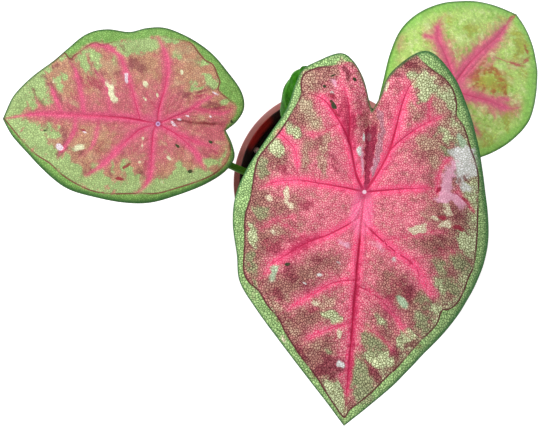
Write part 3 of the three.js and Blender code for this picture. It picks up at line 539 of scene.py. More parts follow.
leftLeaf = {
    "name": "leftLeafBlade",
    "node": "left_leaf_blade",
    "slot": "leaf_rose",
    "at": (-87.0, 27.0, 165.0),
    "heading": 176.9,
    "rings": 80,
    "columns": 330,
    "leftMargin": [
        (-33.5, 1.5), (-37, 8), (-38.5, 15), (-34, 22), (-24, 29), (-10, 35), (3, 39),
        (16, 39.5), (31, 37.5), (44, 34.5), (54, 28.5), (66, 18), (76, 8.5), (82, 0)],
    "rightMargin": [
        (-33.5, 1.5), (-39, -3.5), (-42, -10), (-40, -18), (-33, -27), (-24, -36.5),
        (-13, -43.5), (-1, -48), (9, -48), (18, -46), (29, -47), (39, -44.5), (48, -37.5),
        (57, -29.5), (67, -21.5), (76, -12), (82, 0)],
    "leftSpokes": [
        [(-11, 4.5), (-21, 8), (-38, 15)],
        [(-10, 7), (-16, 12), (-30, 26)],
        [(2, 10), (2, 20), (4, 28), (9, 39)],
        [(8, 4.5), (16, 9), (24, 16), (31, 24), (41, 36)],
        [(20, 1), (40, 5), (49, 14), (58, 25)]],
    "midSpoke": [(14, -2), (37, -3), (61, -3), (82, 0)],
    "rightSpokes": [
        [(-8, -3), (-16, -5.5), (-28, -6.5), (-42, -10)],
        [(-8, -6), (-15, -10.5), (-26, -17), (-38, -21)],
        [(-1, -12), (-3, -22), (-3, -32), (4, -48)],
        [(5, -4), (12, -13), (17, -22), (24, -34), (37, -45)],
        [(20, -6), (36, -10), (44, -20), (54, -32)]],
    "shape": {
        "pitch": 0.15, "tipCurl": 0.0015, "lobeCurl": 0.003, "sideCurl": 0.0035,
        "channel": 2, "channelWidth": 8, "crease": 4, "creaseWidth": 5, "creaseLength": 30,
        "wave": 1.2, "waves": 4, "quilt": 0.6},
    "veins": [
        ([(0, 0), (10.2, -1.6), (20, -2.5), (40.2, -2.8), (60.8, -3), (70, -2), (80, -0.3)], 1, 1),
        ([(9, -1.6), (13.5, -15), (20.2, -31), (23.4, -34.5), (30.3, -38.3), (39, -38),
          (45.2, -33)], 0.5, 0.75),
        ([(0, 0), (0, -6.3), (-2.5, -17.6), (-3.3, -29), (-0.7, -36.6), (2.8, -43)], 0.7, 0.9),
        ([(0, 0), (-6, -3), (-15, -7), (-21.8, -12), (-28.5, -16)], 0.7, 0.8),
        ([(-17, -8), (-23.4, -7.2), (-31, -6.5), (-38.3, -9.6)], 0.4, 0.6),
        ([(0, 0), (-6.3, 3), (-14.7, 6.4), (-28.6, 10.5)], 0.7, 0.9),
        ([(-9, 4.6), (-14.5, 8.5), (-20, 14), (-24.2, 21)], 0.6, 0.85),
        ([(0, 0), (2, 4), (2.3, 16), (3, 26.6), (7, 33), (9.8, 34.2)], 0.75, 0.9),
        ([(2, 0.5), (9.6, 3.7), (18.7, 12.8), (28.4, 22.5), (35.8, 27)], 0.75, 0.9),
        ([(42, -2.5), (42.7, 6), (48.3, 15.3), (50.8, 19)], 0.15, 0.75),
        ([(30, -2), (31.5, 10), (35.5, 15.3), (38.8, 18.5)], 0.12, 0.55),
        ([(38, -3), (39, -10), (43.5, -25), (47, -30)], 0.15, 0.85),
        ([(49, -3), (52, -8.8), (57.3, -19)], 0.15, 0.75),
        ([(60, -3), (62.5, -8), (64.5, -12)], 0.12, 0.45),
        ([(24, -2.6), (27.3, -18), (35.7, -27.5)], 0.15, 0.6),
        ([(58, -2.5), (58.8, 3)], 0.12, 0.4)],
    "bound": [
        (-33, 3), (-35.8, 8), (-36, 14), (-32, 20.5), (-24, 26), (-8, 32), (0, 34.2), (7, 34.4),
        (12.6, 34.9), (22.7, 35.4), (32, 34.4), (41, 31), (47.5, 27.3), (54.5, 21.7),
        (62, 17.5), (70.3, 10.6), (81, 0), (85, -2), (79, -13), (69, -24), (58.5, -33),
        (52, -35), (47, -31), (45, -33), (42, -35), (37.5, -38.5), (34, -39.6), (30.5, -38.5),
        (22, -41), (12, -42), (4, -43.5), (-5, -42.5), (-13.4, -40.8), (-17.7, -36.3),
        (-21.5, -32.3), (-25.6, -30), (-28, -25), (-29.5, -21.5), (-29, -17.5), (-34, -13.5),
        (-38, -10.5), (-37.5, -6), (-33.8, -0.5)],
    "boundGaps": [(10, -42, 20, 4, 1.2), (-37, -6, 8, 7, 1.2)],
    "flushReach": 3.3, "glowReach": 8, "endFade": 0.5, "centreReach": 34,
    "heart": (2, 0, 10, 10, 0.5),
    "rimShadeSide": 1.2, "sideShadeDepth": 0.0,
    "greenEdge": 0.85, "greenReach": 12, "greenSides": [(1, 5, 20), (0, 50, 62)],
    "greenClear": (15, 30), "boundClear": (4, 8),
    "rosy": [
        (-28, 5, 7, 7, 0.7), (-22, 12, 6, 5, 0.5), (-30, -2, 6, 6, 0.5), (28, -8, 14, 5, 0.6),
        (50, -8, 8, 3, 0.5), (24, -14, 8, 8, 0.5)],
    "marks": {
        "green": [
            (73, -9, 8.5, 5, 1.5, 55), (63, -17.5, 6, 4, 1.4, 5), (59, -11, 5, 2.8, 1.1, 150),
            (66, -9, 5, 3, 0.9, 120), (21, -35, 3.5, 2.6, 0.9, 30), (24, -30, 4, 1.6, 0.6, 110),
            (52, -18.5, 5.5, 2, 0.9, 115), (49, -22.5, 2.6, 1.8, 1, 140), (51, -31.5, 2.5, 1.4, 1, 25),
            (58, -25, 2.8, 1.4, 0.9, 20), (40.5, -33.5, 4.4, 2.5, 1, 35),
            (38, -26.5, 5.5, 2.1, 1.1, 130), (33.5, -31, 5.8, 2.6, 0.9, 115),
            (25.5, -41, 5.7, 2.3, 1.2, 165), (17, -36.5, 6, 2.6, 0.6, 175),
            (10.5, -40, 10, 4.5, 1.2, 175), (13.5, -34.5, 4.1, 2, 0.9), (-4.5, -42, 4.6, 1.7, 1.1, 165),
            (-8.5, -33.5, 2.8, 1.7, 0.6, 150), (-21.5, -31, 2.8, 1.6, 1, 20),
            (-10, -37, 7, 2.2, 0.5, 15), (-17.5, -32, 4, 2.6, 0.6, 60),
            (-24.5, -22, 4.6, 2.5, 1.3, 150), (-16.5, -20, 2.7, 1.6, 1, 50),
            (-19, -18, 3.8, 0.9, 1, 20), (-32.5, -18.5, 4.4, 2.4, 1.2, 145),
            (-32.5, -12, 3, 1.6, 1.1, 35), (71, 4, 9, 4.3, 1.3, 155), (62, 12.5, 9.6, 4.7, 1.3, 150),
            (54, 6, 5.2, 3.2, 1.1, 140), (62, 3.5, 3.7, 2.3, 0.8, 120), (51.5, 19, 7.7, 2.3, 1, 140),
            (44.5, 21.5, 4.6, 1.9, 0.9, 105), (40.5, 25, 4.9, 2.5, 1.1, 115),
            (43, 14, 2.4, 1.4, 0.8, 145), (29, 26.5, 5.9, 3, 1.1, 105), (22, 30.5, 5.8, 2.2, 1.1, 155),
            (34, 31, 3.3, 1.4, 1, 165), (21.5, 22.5, 3.9, 1.1, 0.9, 100), (16.5, 22.5, 3.8, 1.3, 1, 95),
            (13, 23, 5, 1.9, 1.1, 105), (9.5, 28.5, 3.9, 1.7, 1, 40), (13, 32.5, 4.7, 1.4, 1.1, 175),
            (-4, 30.5, 9.2, 3.3, 1.3, 20), (-14, 23.5, 5.2, 3, 1.2, 125), (-22, 24, 5.1, 2.4, 1.1),
            (-27.5, 17.5, 5.1, 2.1, 0.9), (-33.5, 13.5, 3.9, 1.6, 1, 70)],
        "beige": [
            (25.5, -27.5, 5.8, 2.6, 0.8, 155), (23.5, -20.5, 2.9, 1.1, 0.9, 115),
            (43, -8.5, 3.4, 1.4, 0.8, 160), (30.5, -9.5, 3.5, 1.4, 0.6, 145),
            (-11.5, -36.5, 6.5, 1.9, 0.8, 10), (-14, -31.5, 4.4, 1.6, 0.7, 170),
            (-9, -21, 3.8, 1.9, 0.6, 155), (-22, -3.5, 3.7, 1.3, 0.7, 160),
            (-2.5, 9.5, 3, 1.4, 0.7, 160), (-6.5, 15.5, 3.8, 1.6, 0.7, 130),
            (-16, 14, 3.5, 1.6, 0.6, 155), (32.5, 17, 3.7, 2, 0.7), (7.5, 16, 3.8, 1.7, 0.6, 5),
            (49, -10, 3.7, 1.4, 0.5, 130), (-30.5, 7.5, 3.5, 1.1, 0.7, 160)],
        "crimson": [
            (34.5, -19.5, 9.5, 3, 0.9, 165), (41.5, -11, 6, 1.9, 0.5, 135), (29, 0.6, 7.5, 2.2, 0.5, 5),
            (42, 7, 5, 1.6, 0.8, 70), (29.5, 12.5, 5, 2.1, 0.6, 75), (4.5, 19.5, 7.5, 1.5, 0.5, 95),
            (-20.5, -14.5, 6, 0.9, 0.8, 10), (-27.5, -8.5, 9, 0.8, 0.7, 10),
            (-29, 12, 6, 1.3, 0.6, 175), (3, -10, 5, 1.6, 0.5, 115)],
        "maroon": [
            (45, -28.5, 5.3, 2, 1, 115), (41.5, -20, 4.7, 1.4, 0.9, 105),
            (36, -28.5, 4.5, 1.3, 0.8, 115), (30.5, -23.5, 5.2, 1.7, 0.8, 155),
            (54, -27.5, 2.7, 1.5, 1, 160), (60, -21.5, 2.6, 0.9, 1, 165),
            (56, -17.5, 4.4, 1.2, 0.9, 125), (51.5, -11.5, 4.4, 1.7, 0.7, 125),
            (65, -13.5, 3.3, 1, 0.9, 120), (61.5, -9.5, 3.5, 1.7, 0.6, 135),
            (11.5, -28.5, 5.6, 3.4, 1.1, 155), (21.5, -24, 3.8, 2, 0.7, 145),
            (31, -40.5, 2.1, 0.7, 1, 105), (20, -37.5, 3.7, 1.2, 0.7, 125),
            (-12.5, -15, 4.4, 2.2, 0.9, 160), (-20, -16.5, 3.8, 0.8, 1, 15),
            (-24.5, -19, 2.3, 0.9, 0.8, 155), (-24.5, -10, 6.4, 1.9, 1, 5), (47, 8, 5.9, 2.2, 0.7, 100),
            (49.5, 16.5, 3.4, 1.3, 1.1, 60), (45.5, 12.5, 3.5, 1.4, 0.9, 50),
            (39, 16.5, 4.1, 1.4, 0.8, 15), (36.5, 21, 3.1, 0.8, 0.9, 145), (34, 25, 3.1, 1.1, 0.8, 20),
            (22.5, 25, 4.2, 0.8, 0.9, 95), (7.5, 24, 3.1, 1.6, 0.9, 150),
            (16.5, 13.5, 4.9, 1.9, 0.6, 70), (57.5, 3, 2.8, 1.1, 0.6, 110),
            (-27, 14.5, 4.6, 1.1, 0.6, 170)],
        # along the crease between the lobes: crimson colour with painted shade over it
        "crease": [
            (-11, -2, 5.6, 0.7, 1.2, 175), (-23.5, -1.3, 8.4, 0.7, 1), (-18, -4.5, 4.9, 0.5, 0.6, 5)],
        "pale": [
            (24.5, -15.5, 5, 1.8, 1.5, 115), (7, -19, 2.6, 0.9, 1.4, 125), (1, -14, 1.2, 0.6, 1.2, 120),
            (7, -12, 1.3, 0.6, 1.1, 125), (-10.5, -26, 1.3, 0.8, 1.3, 120), (39, 13, 3.5, 2, 1.5, 15),
            (-6.5, 16.5, 1.6, 0.8, 1.2, 150), (7, 7.5, 0.9, 0.6, 1.2, 95), (7, 11.5, 2.1, 0.5, 0.7, 95),
            (8, 19, 1, 0.8, 0.8, 140), (55, -19.5, 1, 0.7, 0.9, 140), (-3.5, 28.5, 1.2, 0.6, 1, 140)],
        "white": [
            (17, -22, 2.5, 0.8, 1.3, 100), (-27.5, -16, 2.1, 0.5, 1.3, 155),
            (49.5, 13, 1.8, 1.5, 1.4, 155), (-10.5, -2.6, 1.3, 0.5, 1.2, 165),
            (-7.5, -0.3, 2.1, 0.7, 1.2, 145), (-14.5, -4.2, 1.2, 0.5, 1.1, 155),
            (37, 5.5, 1.4, 0.6, 1, 150), (-25.5, -4.7, 1, 0.5, 1, 155)],
        "red": [
            (18, 28, 2.5, 0.9, 1.3, 175), (14.5, 21.5, 2.6, 0.8, 1.4, 40), (38, 4.5, 1.9, 0.7, 1.2)],
        "speck": [
            (-10.5, 10.5, 0.9, 0.7, 1.5, 155), (-26.5, 8, 0.9, 0.7, 1.5, 5),
            (-17.5, 22.5, 1.4, 0.9, 1.6, 175), (-36.5, -3, 1, 0.6, 1.3, 120), (58, 5.5, 1, 0.6, 1.2)]},
}

rightLeaf = {
    "name": "rightLeafBlade",
    "node": "right_leaf_blade",
    "slot": "leaf_green",
    "at": (53.8, 42.2, 186.0),
    "heading": 46.9,
    "rings": 70,
    "columns": 300,
    "leftMargin": [
        (-19, 0), (-27, 3), (-34, 8), (-36, 14), (-32, 19), (-22, 25), (-9, 32), (4, 36.5),
        (16, 36.5), (28, 32.5), (39, 25), (47, 17), (53, 7.5), (56.5, 0)],
    "rightMargin": [
        (-19, 0), (-27, -3), (-33, -9), (-34, -16), (-29, -23), (-21, -28.5), (-9, -35),
        (4, -38.5), (17, -38.5), (29, -33.5), (40, -26), (49, -16), (54, -7), (56.5, 0)],
    "leftSpokes": [
        [(-8, 4), (-17, 8), (-27, 12), (-36, 14)],
        [(-3, 10), (-6, 20), (-9, 32)],
        [(8, 9), (14, 18), (21, 25), (30, 32)],
        [(20, 2.5), (33, 9), (47, 17)]],
    "midSpoke": [(13, -1), (30, -1), (44, -1), (56.5, 0)],
    "rightSpokes": [
        [(-8, -4), (-17, -8), (-26, -13), (-34, -16)],
        [(-4, -10), (-7, -20), (-9, -35)],
        [(3, -9), (8, -18), (14, -28), (21, -37)],
        [(18, -5), (31, -12), (44, -22)]],
    "shape": {
        "pitch": 0.35, "tipCurl": 0.005, "lobeCurl": 0.01, "sideCurl": 0.005,
        "channel": 1.4, "channelWidth": 8, "crease": 2.5, "creaseWidth": 5, "creaseLength": 19,
        "wave": 0.8, "waves": 3, "quilt": 0.5},
    "veins": [
        ([(0, 0), (12, 1.5), (24.6, 1.2), (38.6, 0), (51.5, 0.7), (55.5, 0.2)], 1, 1),
        ([(0, 0), (4.2, 2.7), (10.3, 13.5), (14.5, 21.3), (21.3, 25.4), (26, 26.4)], 0.8, 0.9),
        ([(14, 20.5), (11.5, 24.7), (9.8, 28.6)], 0.15, 0.7),
        ([(0, 0), (1.9, -6.1), (7.9, -16.6), (12.4, -26.1), (17.5, -30.6)], 0.8, 0.9),
        ([(10.3, -19.5), (14.5, -22), (16.5, -26)], 0.12, 0.65),
        ([(7, -15), (4.9, -23.6), (1, -25.4)], 0.12, 0.5),
        ([(3, 34), (-2.4, 31.6), (-5.7, 27.8)], 0.3, 0.4),
        ([(28, -6), (30, -10), (33.3, -15.6), (38, -18.9), (42, -18.5), (45, -14)], 0.7, 0.3),
        ([(0, 0), (-8, 4), (-17, 8), (-27, 12), (-32, 13)], 0.7, 0.7),
        ([(0, 0), (-3, 10), (-6, 20), (-8, 28)], 0.5, 0.6),
        ([(0, 0), (-8, -4), (-17, -8), (-26, -13), (-30, -14)], 0.7, 0.7),
        ([(0, 0), (-4, -10), (-7, -20), (-8, -30)], 0.5, 0.6)],
    "bound": [
        (-20.5, 2.5), (-27, 5.5), (-32, 10.5), (-28.5, 17.5), (-20, 22), (-9, 28), (3, 33),
        (14.5, 32.5), (25, 29), (35, 22.5), (43, 15.5), (49, 7), (52, 0), (50, -6.5),
        (45.5, -14.5), (38, -21), (29.7, -26.5), (19, -32), (12, -34.5), (4, -34.5), (-7, -31),
        (-18, -26), (-26, -21), (-29.8, -15), (-26, -7), (-20.5, -2.5)],
    "boundGaps": [],
    "flushReach": 5, "glowReach": 9, "endFade": 0.65, "centreReach": 20,
    "heart": (2, 0, 10, 10, 0.5),
    "rimShadeSide": 0.0, "sideShadeDepth": 0.0,
    "greenEdge": 0, "greenReach": 1, "greenSides": [(0, 0, 1)], "greenClear": (0, 1),
    "boundClear": (16, 24),
    "rosy": [(15, -28, 7, 5, 0.6), (20, -3, 7, 5, 0.6), (12, 12, 6, 5, 0.4)],
    "marks": {
        "olive": [
            (30, 12, 6, 4, 0.9), (45, -9, 4, 6, 1.2), (40, -13, 5, 3, 1), (17, -13, 8, 6, 1, 150),
            (33, -22, 4, 3, 0.7), (26, 22.5, 4, 3, 0.6), (10, -29, 6, 3, 0.7, 20), (21, -17, 5, 4, 0.7),
            (13, -8, 3, 3, 0.6), (-6, -28, 4, 4, 0.8), (5, -30, 3, 3, 0.5), (48, 3, 3, 4, 0.5)],
        "maroon": [
            (13, -3, 3, 3, 0.9), (19.5, -7, 4, 1.6, 0.9), (13.5, -16.5, 2.4, 2.4, 1),
            (9, -9, 4, 4, 0.6), (14, 8, 2, 2.4, 0.6), (20, -15, 4, 4, 0.55), (5, -20, 4, 3, 0.4),
            (28, -14, 3, 3, 0.3), (53.5, 0.4, 4.5, 0.9, 0.9), (25, 4, 5, 2, 0.3),
            (23, -12, 4, 2, 0.8, 120), (17, -20, 3.5, 1.6, 0.7, 30), (26, -19, 3, 1.2, 0.5, 140),
            (19, -3.5, 5, 1.4, 0.8, 15), (33, -15, 4, 1, 0.9, 120), (39, -18.5, 4, 0.9, 0.9, 0),
            (44, -15, 3, 0.8, 0.9, 60), (8.5, 23, 3, 1.4, 0.5, 100)],
        "pale": [
            (27, -11, 4, 2, 0.6), (24, -17, 2, 5, 0.5), (35, 14, 4, 5, 0.45), (17, 30, 5, 4, 0.4),
            (22, 12, 4, 4, 0.5)]},
}


def splineAt(points, share):
    # the round curve through the points, at shares from 0 to 1 of its spans
    points = np.asarray(points, float)
    last = len(points) - 1
    place = np.clip(np.asarray(share, float), 0, 1) * last
    i = np.minimum(place.astype(int), last - 1)
    w = (place - i)[..., None]
    p0, p1 = points[np.maximum(i - 1, 0)], points[i]
    p2, p3 = points[i + 1], points[np.minimum(i + 2, last)]
    v0, v1 = (p2 - p0) / 2, (p3 - p1) / 2
    return ((2 * p1 - 2 * p2 + v0 + v1) * w + (-3 * p1 + 3 * p2 - 2 * v0 - v1)) * w * w + v0 * w + p1


def evenlyAlong(points, share, samples=400):
    # the same curve, at even shares of its length
    fine = splineAt(points, np.linspace(0, 1, samples))
    steps = np.linalg.norm(np.diff(fine, axis=0), axis=1)
    length = np.concatenate([[0], np.cumsum(steps)])
    share = np.asarray(share, float) * length[-1]
    return np.stack([np.interp(share, length, fine[:, axis]) for axis in range(fine.shape[1])], -1)


def marginAt(leaf, u):
    # 0 at the notch, 1 at the tip and 2 at the notch again
    u = np.asarray(u, float)
    left = splineAt(leaf["leftMargin"], np.minimum(u, 1))
    right = splineAt(leaf["rightMargin"], np.minimum(2 - u, 1))
    return np.where((u <= 1)[..., None], left, right)


def spokesOf(leaf, tries=500):
    # crease, left spokes, middle, right spokes and crease again, in the margin's order
    def spoke(through, low, high):
        places = np.linspace(low, high, tries)
        ends = marginAt(leaf, places)
        best = np.argmin(np.linalg.norm(ends - np.array(through[-1]), axis=1))
        return {"u": places[best], "points": [(0, 0), *through[:-1], tuple(ends[best])]}

    notch = leaf["leftMargin"][0]
    left = [spoke(through, 0.02, 0.98) for through in leaf["leftSpokes"]]
    right = [spoke(through, 1.02, 1.98) for through in reversed(leaf["rightSpokes"])]
    start, end = ({"u": u, "points": [(0, 0), notch]} for u in (0.0, 2.0))
    return [start, *left, spoke(leaf["midSpoke"], 1.0, 1.0), *right, end]


def fieldPoint(leaf, near, far, f, t):
    # a point t of the way out and f of the way from one spoke to the next
    f, t = np.asarray(f, float)[..., None], np.asarray(t, float)
    nearPoint, farPoint = evenlyAlong(near["points"], t), evenlyAlong(far["points"], t)
    ends = (1 - f) * np.array(near["points"][-1]) + f * np.array(far["points"][-1])
    missed = marginAt(leaf, near["u"] + (far["u"] - near["u"]) * f[..., 0]) - ends
    return (1 - f) * nearPoint + f * farPoint + (t ** 2)[..., None] * missed


def fanOf(leaf, fewest=6):
    # plan points [ring, column], with each column's place on the margin and in its field
    spokes = spokesOf(leaf)
    widths = [abs(far["u"] - near["u"]) for near, far in zip(spokes, spokes[1:])]
    perField = np.rint(np.array(widths) / sum(widths) * leaf["columns"]).astype(int)
    perField = np.maximum(fewest, perField)
    ringShares = np.linspace(0, 1, leaf["rings"] + 1)
    points, places, fields = [], [], []
    for k, (near, far) in enumerate(zip(spokes, spokes[1:])):
        last = k == len(spokes) - 2
        for f in np.linspace(0, 1, perField[k] + 1)[:None if last else -1]:
            points.append(fieldPoint(leaf, near, far, np.full_like(ringShares, f), ringShares))
            places.append(near["u"] + (far["u"] - near["u"]) * f)
            fields.append(f)
    return np.stack(points, 1), np.array(places), np.array(fields), ringShares


sideVein = {
    "leastSize": 0.5,  # only veins of this size or more carry side veins
    "first": (5, 8), "spacing": (5, 8.5), "clear": 4,  # along the vein, in mm
    "reach": (6, 11), "shortens": 0.4, "lean": 0.35, "bow": 0.45, "width": 0.13, "widthMore": 0.08,
}


def sideVeinsOf(leaf, seed, samples=60):
    # finer veins leave the main ones on both sides and bow outward
    draw = np.random.default_rng(seed)
    found = []
    steps = np.linspace(0, 1, 6)[:, None]
    for path, size, _ in leaf["veins"]:
        if size < sideVein["leastSize"]:
            continue
        fine = evenlyAlong(path, np.linspace(0, 1, samples))
        length = np.linalg.norm(np.diff(fine, axis=0), axis=1).sum()
        for side in (-1, 1):
            at = draw.uniform(*sideVein["first"])
            while at < length - sideVein["clear"]:
                k = min(int(at / length * (samples - 1)), samples - 3)
                ahead = (fine[k + 1] - fine[k]) / np.linalg.norm(fine[k + 1] - fine[k])
                across = side * np.array([-ahead[1], ahead[0]])
                reach = draw.uniform(*sideVein["reach"]) * (1 - sideVein["shortens"] * at / length)
                bowed = (sideVein["lean"] * steps + sideVein["bow"] * steps ** 2) * reach * ahead
                width = sideVein["width"] + sideVein["widthMore"] * draw.random()
                found.append((fine[k] + steps * reach * across + bowed, width))
                at += draw.uniform(*sideVein["spacing"])
    return found


def beside(points, line):
    # signed distance of every point from a line of points, and how far along it lies
    best = np.full(len(points), np.inf)
    signed, along = np.zeros(len(points)), np.zeros(len(points))
    for k, (start, end) in enumerate(zip(line, line[1:])):
        run = end - start
        share = np.clip(((points - start) @ run) / max(run @ run, 1e-9), 0, 1)
        away = points - start - share[:, None] * run
        distance = np.hypot(*away.T)
        closer = distance < best
        side = np.sign(run[0] * away[:, 1] - run[1] * away[:, 0])
        side[side == 0] = 1
        best[closer] = distance[closer]
        signed[closer] = (side * distance)[closer]
        along[closer] = ((k + share) / (len(line) - 1))[closer]
    return signed, along


def isInside(points, outline):
    # whether each point lies inside a closed outline, by how often a ray from it is crossed
    x, y = points.T
    inside = np.zeros(len(points), bool)
    for (x0, y0), (x1, y1) in zip(outline, np.roll(outline, -1, axis=0)):
        if y0 != y1:
            inside ^= ((y0 > y) != (y1 > y)) & (x < x0 + (y - y0) * (x1 - x0) / (y1 - y0))
    return inside


def marginDistance(leaf, points):
    outline = marginAt(leaf, np.linspace(0, 2, 500))
    return np.abs(beside(points, outline)[0])


def boundDistance(leaf, points):
    # from the bound's line, with points inside it below zero
    bound = splineAt(leaf["bound"], np.linspace(0, 1, 420))
    outside = np.abs(beside(points, bound)[0])
    outside[isInside(points, bound)] *= -1
    return outside


def painted(points, pull, marks, large=2.5, steep=1.3):
    # soft blotches, summed; a large one is pulled out of round more than a small one
    total = np.zeros(len(points))
    for a, b, length, width, strength, *turn in marks:
        x, y = (points + pull * min(1, min(length, width) / large) - (a, b)).T
        angle = math.radians(turn[0] if turn else 0)
        along = x * math.cos(angle) + y * math.sin(angle)
        across = y * math.cos(angle) - x * math.sin(angle)
        square = (along / length) ** 2 + (across / width) ** 2
        total += strength * np.exp(-square ** steep)
    return total


veinForm = {
    "thin": 0.12, "stout": 0.4,  # half width in mm: thin, and stout for each unit of size
    "tapers": 0.7, "sideTapers": 0.6,  # share of that width lost at the end
    "fadesFrom": 0.7,  # share of the way at which the rose colour starts to fade
    "midNarrows": 0.7, "narrows": 0.45,  # share of its reach lost at the end
    "away": 9.0,  # distance in mm that no vein is expected to miss a point by
}


def veinFieldsOf(leaf, points, seed):
    # the nearest vein's signed distance and half width, and two reaches of its flush
    count = len(points)
    signed, nearest = np.full(count, veinForm["away"]), np.full(count, veinForm["away"])
    width, flush, glow = np.full(count, 0.2), np.zeros(count), np.zeros(count)

    def take(side, halfWidth):
        distance = np.abs(side) - 1.5 * halfWidth
        closer = distance < nearest
        signed[closer], width[closer] = side[closer], halfWidth[closer]
        nearest[closer] = distance[closer]

    for k, (path, size, strength) in enumerate(leaf["veins"]):
        side, along = beside(points, evenlyAlong(path, np.linspace(0, 1, 30)))
        distance = np.abs(side)
        thick = veinForm["thin"] + veinForm["stout"] * size
        take(side, thick * (1 - veinForm["tapers"] * along))
        ended = strength * (1 - leaf["endFade"] * smoothStep(along, veinForm["fadesFrom"], 1))
        narrowed = 1 - veinForm["narrows" if k else "midNarrows"] * along
        spread = leaf["flushReach"] * (0.5 + 0.5 * size) * narrowed
        flush = np.maximum(flush, ended * np.exp(-(distance / spread) ** 1.4))
        haze = leaf["glowReach"] * (0.4 + 0.6 * size) * np.sqrt(narrowed)
        glow = np.maximum(glow, ended * np.exp(-(distance / haze) ** 1.5))
    for line, size in sideVeinsOf(leaf, seed):
        side, along = beside(points, line)
        take(side, size * (1 - veinForm["sideTapers"] * along))
    return signed, width, flush, glow


def riseOf(leaf, points, u, t, field):
    # the height of the blade's upper face over the stalk's top
    s = leaf["shape"]
    a, b = points.T
    curl = np.where(a > 0, s["tipCurl"], s["lobeCurl"])
    back = smoothStep(-a, 0, s["creaseLength"])
    depth = s["channel"] + (s["crease"] - s["channel"]) * back
    width = s["channelWidth"] + (s["creaseWidth"] - s["channelWidth"]) * back
    rounding = 1.5
    across = np.hypot(b, rounding) - rounding
    share = np.where(u <= 1, u, 2 - u)
    return (
        -s["pitch"] * a - curl * a * a - s["sideCurl"] * b * b
        + depth * (1 - np.exp(-across / width))
        + s["wave"] * t ** 3 * np.sin(math.tau * s["waves"] * u) * np.sin(math.pi * share)
        + s["quilt"] * np.sin(math.pi * field) * np.sin(math.pi * np.minimum(1, t * 1.05)))


bladeFinish = {
    "thickness": 0.0014,  # under the midrib; the vertex group thins it elsewhere
    "thinShare": 0.33,
    "groove": 0.35,  # depth of a main vein's groove in the upper face, in mm
    "puff": 0.6,  # how far the blade swells between veins, in mm
    "puffReach": 2.6,
    "ripple": 0.45,
    "rippleLength": 14,
    "stalkTop": 3.2,  # radius of the thick place over the stalk, in mm
    "mapSize": 200,  # mm of plan to one unit of the UV map
    "seed": 11,
}


def withRelief(rise, points, t, toMargin, veins, seed):
    # veins lie in grooves, the blade swells between them and is nowhere quite even
    near, width = np.abs(veins[0]), veins[1]
    grooved = bladeFinish["groove"] * np.minimum(1, width / 0.5) * np.exp(-(near / (0.3 + width)) ** 2)
    inside = smoothStep(toMargin, 0, 3) * smoothStep(t, 0, 0.12)
    puffed = bladeFinish["puff"] * (1 - np.exp(-near / bladeFinish["puffReach"])) * inside
    rippled = bladeFinish["ripple"] * ripples(points, bladeFinish["rippleLength"], seed)
    rippled = rippled * smoothStep(t, 0.05, 0.3)
    return rise - grooved * smoothStep(t, 0, 0.05) + puffed + rippled


def inPlace(leaf, points, height):
    x0, y0, z0 = leaf["at"]
    turn = math.radians(leaf["heading"])
    a, b = points.T
    return mm * np.stack([
        x0 + a * math.cos(turn) - b * math.sin(turn),
        y0 + a * math.sin(turn) + b * math.cos(turn),
        z0 + height], 1)


def paintBlade(blade, leaf, points, toMargin, veins, seed):
    # what the colours read at each point: distances, reaches and blotches
    signed, width, flush, glow = veins
    a, b = points.T
    outside = boundDistance(leaf, points)
    notchA, notchB = leaf["leftMargin"][0]
    fromNotch = np.hypot(a - notchA, b - notchB)
    centre = 1.1 * (1 - smoothStep(np.hypot(a - 2, b), 0.2 * leaf["centreReach"], leaf["centreReach"]))
    heartA, heartB, reachA, reachB, strength = leaf["heart"]
    fromHeart = np.hypot((a - heartA) / reachA, (b - heartB) / reachB)
    gaps = painted(points, np.zeros(2), leaf["boundGaps"])
    pull = 1.5 * np.stack([ripples(points, 6, seed + k) for k in (40, 41)], 1)
    pull += 0.6 * np.stack([ripples(points, 2.4, seed + k) for k in (42, 43)], 1)
    sides = [smoothStep(points[:, axis], low, high) for axis, low, high in leaf["greenSides"]]
    edgeGreen = leaf["greenEdge"] * (1 - smoothStep(-outside, 0, leaf["greenReach"]))
    edgeGreen = edgeGreen * smoothStep(fromNotch, *leaf["greenClear"]) * np.max(sides, 0)
    fields = {
        "veinSide": signed,
        "veinWidth": width,
        "flush": flush,
        "heart": strength * (1 - smoothStep(fromHeart, 0.2, 1)),
        # painted shade: the blade is painted darker towards its left side, and its dark rim wider there
        "sideShade": 1 - leaf["sideShadeDepth"] * smoothStep(b, 18, 52),
        "edge": toMargin / (1 + leaf["rimShadeSide"] * smoothStep(b, -5, 40)),
        "outside": outside,
        "boundShown": smoothStep(fromNotch, *leaf["boundClear"]) * np.clip(1 - gaps, 0, 1),
        "glow": np.maximum(glow, centre) + painted(points, pull, leaf["rosy"]),
    }
    for kind, marks in leaf["marks"].items():
        blotches = painted(points, pull, marks)
        fields[kind] = blotches + edgeGreen if kind == "green" else blotches
    for name, values in fields.items():
        setField(blade, name, values)


def markRibs(blade, points, veins):
    # ribs stand out underneath, most at the stalk
    ribs = blade.vertex_groups.new(name="ribs")
    near, width = np.abs(veins[0]), veins[1]
    stout = np.minimum(1, width / 0.5) * np.exp(-(near / (0.5 + width)) ** 2)
    top = np.exp(-(np.hypot(*points.T) / bladeFinish["stalkTop"]) ** 2)
    stout = np.round(np.maximum(stout, top), 2)
    for weight in np.unique(stout):
        ribs.add(np.nonzero(stout == weight)[0].tolist(), float(weight), "REPLACE")


def turnUp(blade):
    if blade.data.polygons[len(blade.data.polygons) // 2].normal.z < 0:
        pick(blade)
        bpy.ops.object.mode_set(mode="EDIT")
        bpy.ops.mesh.select_all(action="SELECT")
        bpy.ops.mesh.flip_normals()
        bpy.ops.object.mode_set(mode="OBJECT")


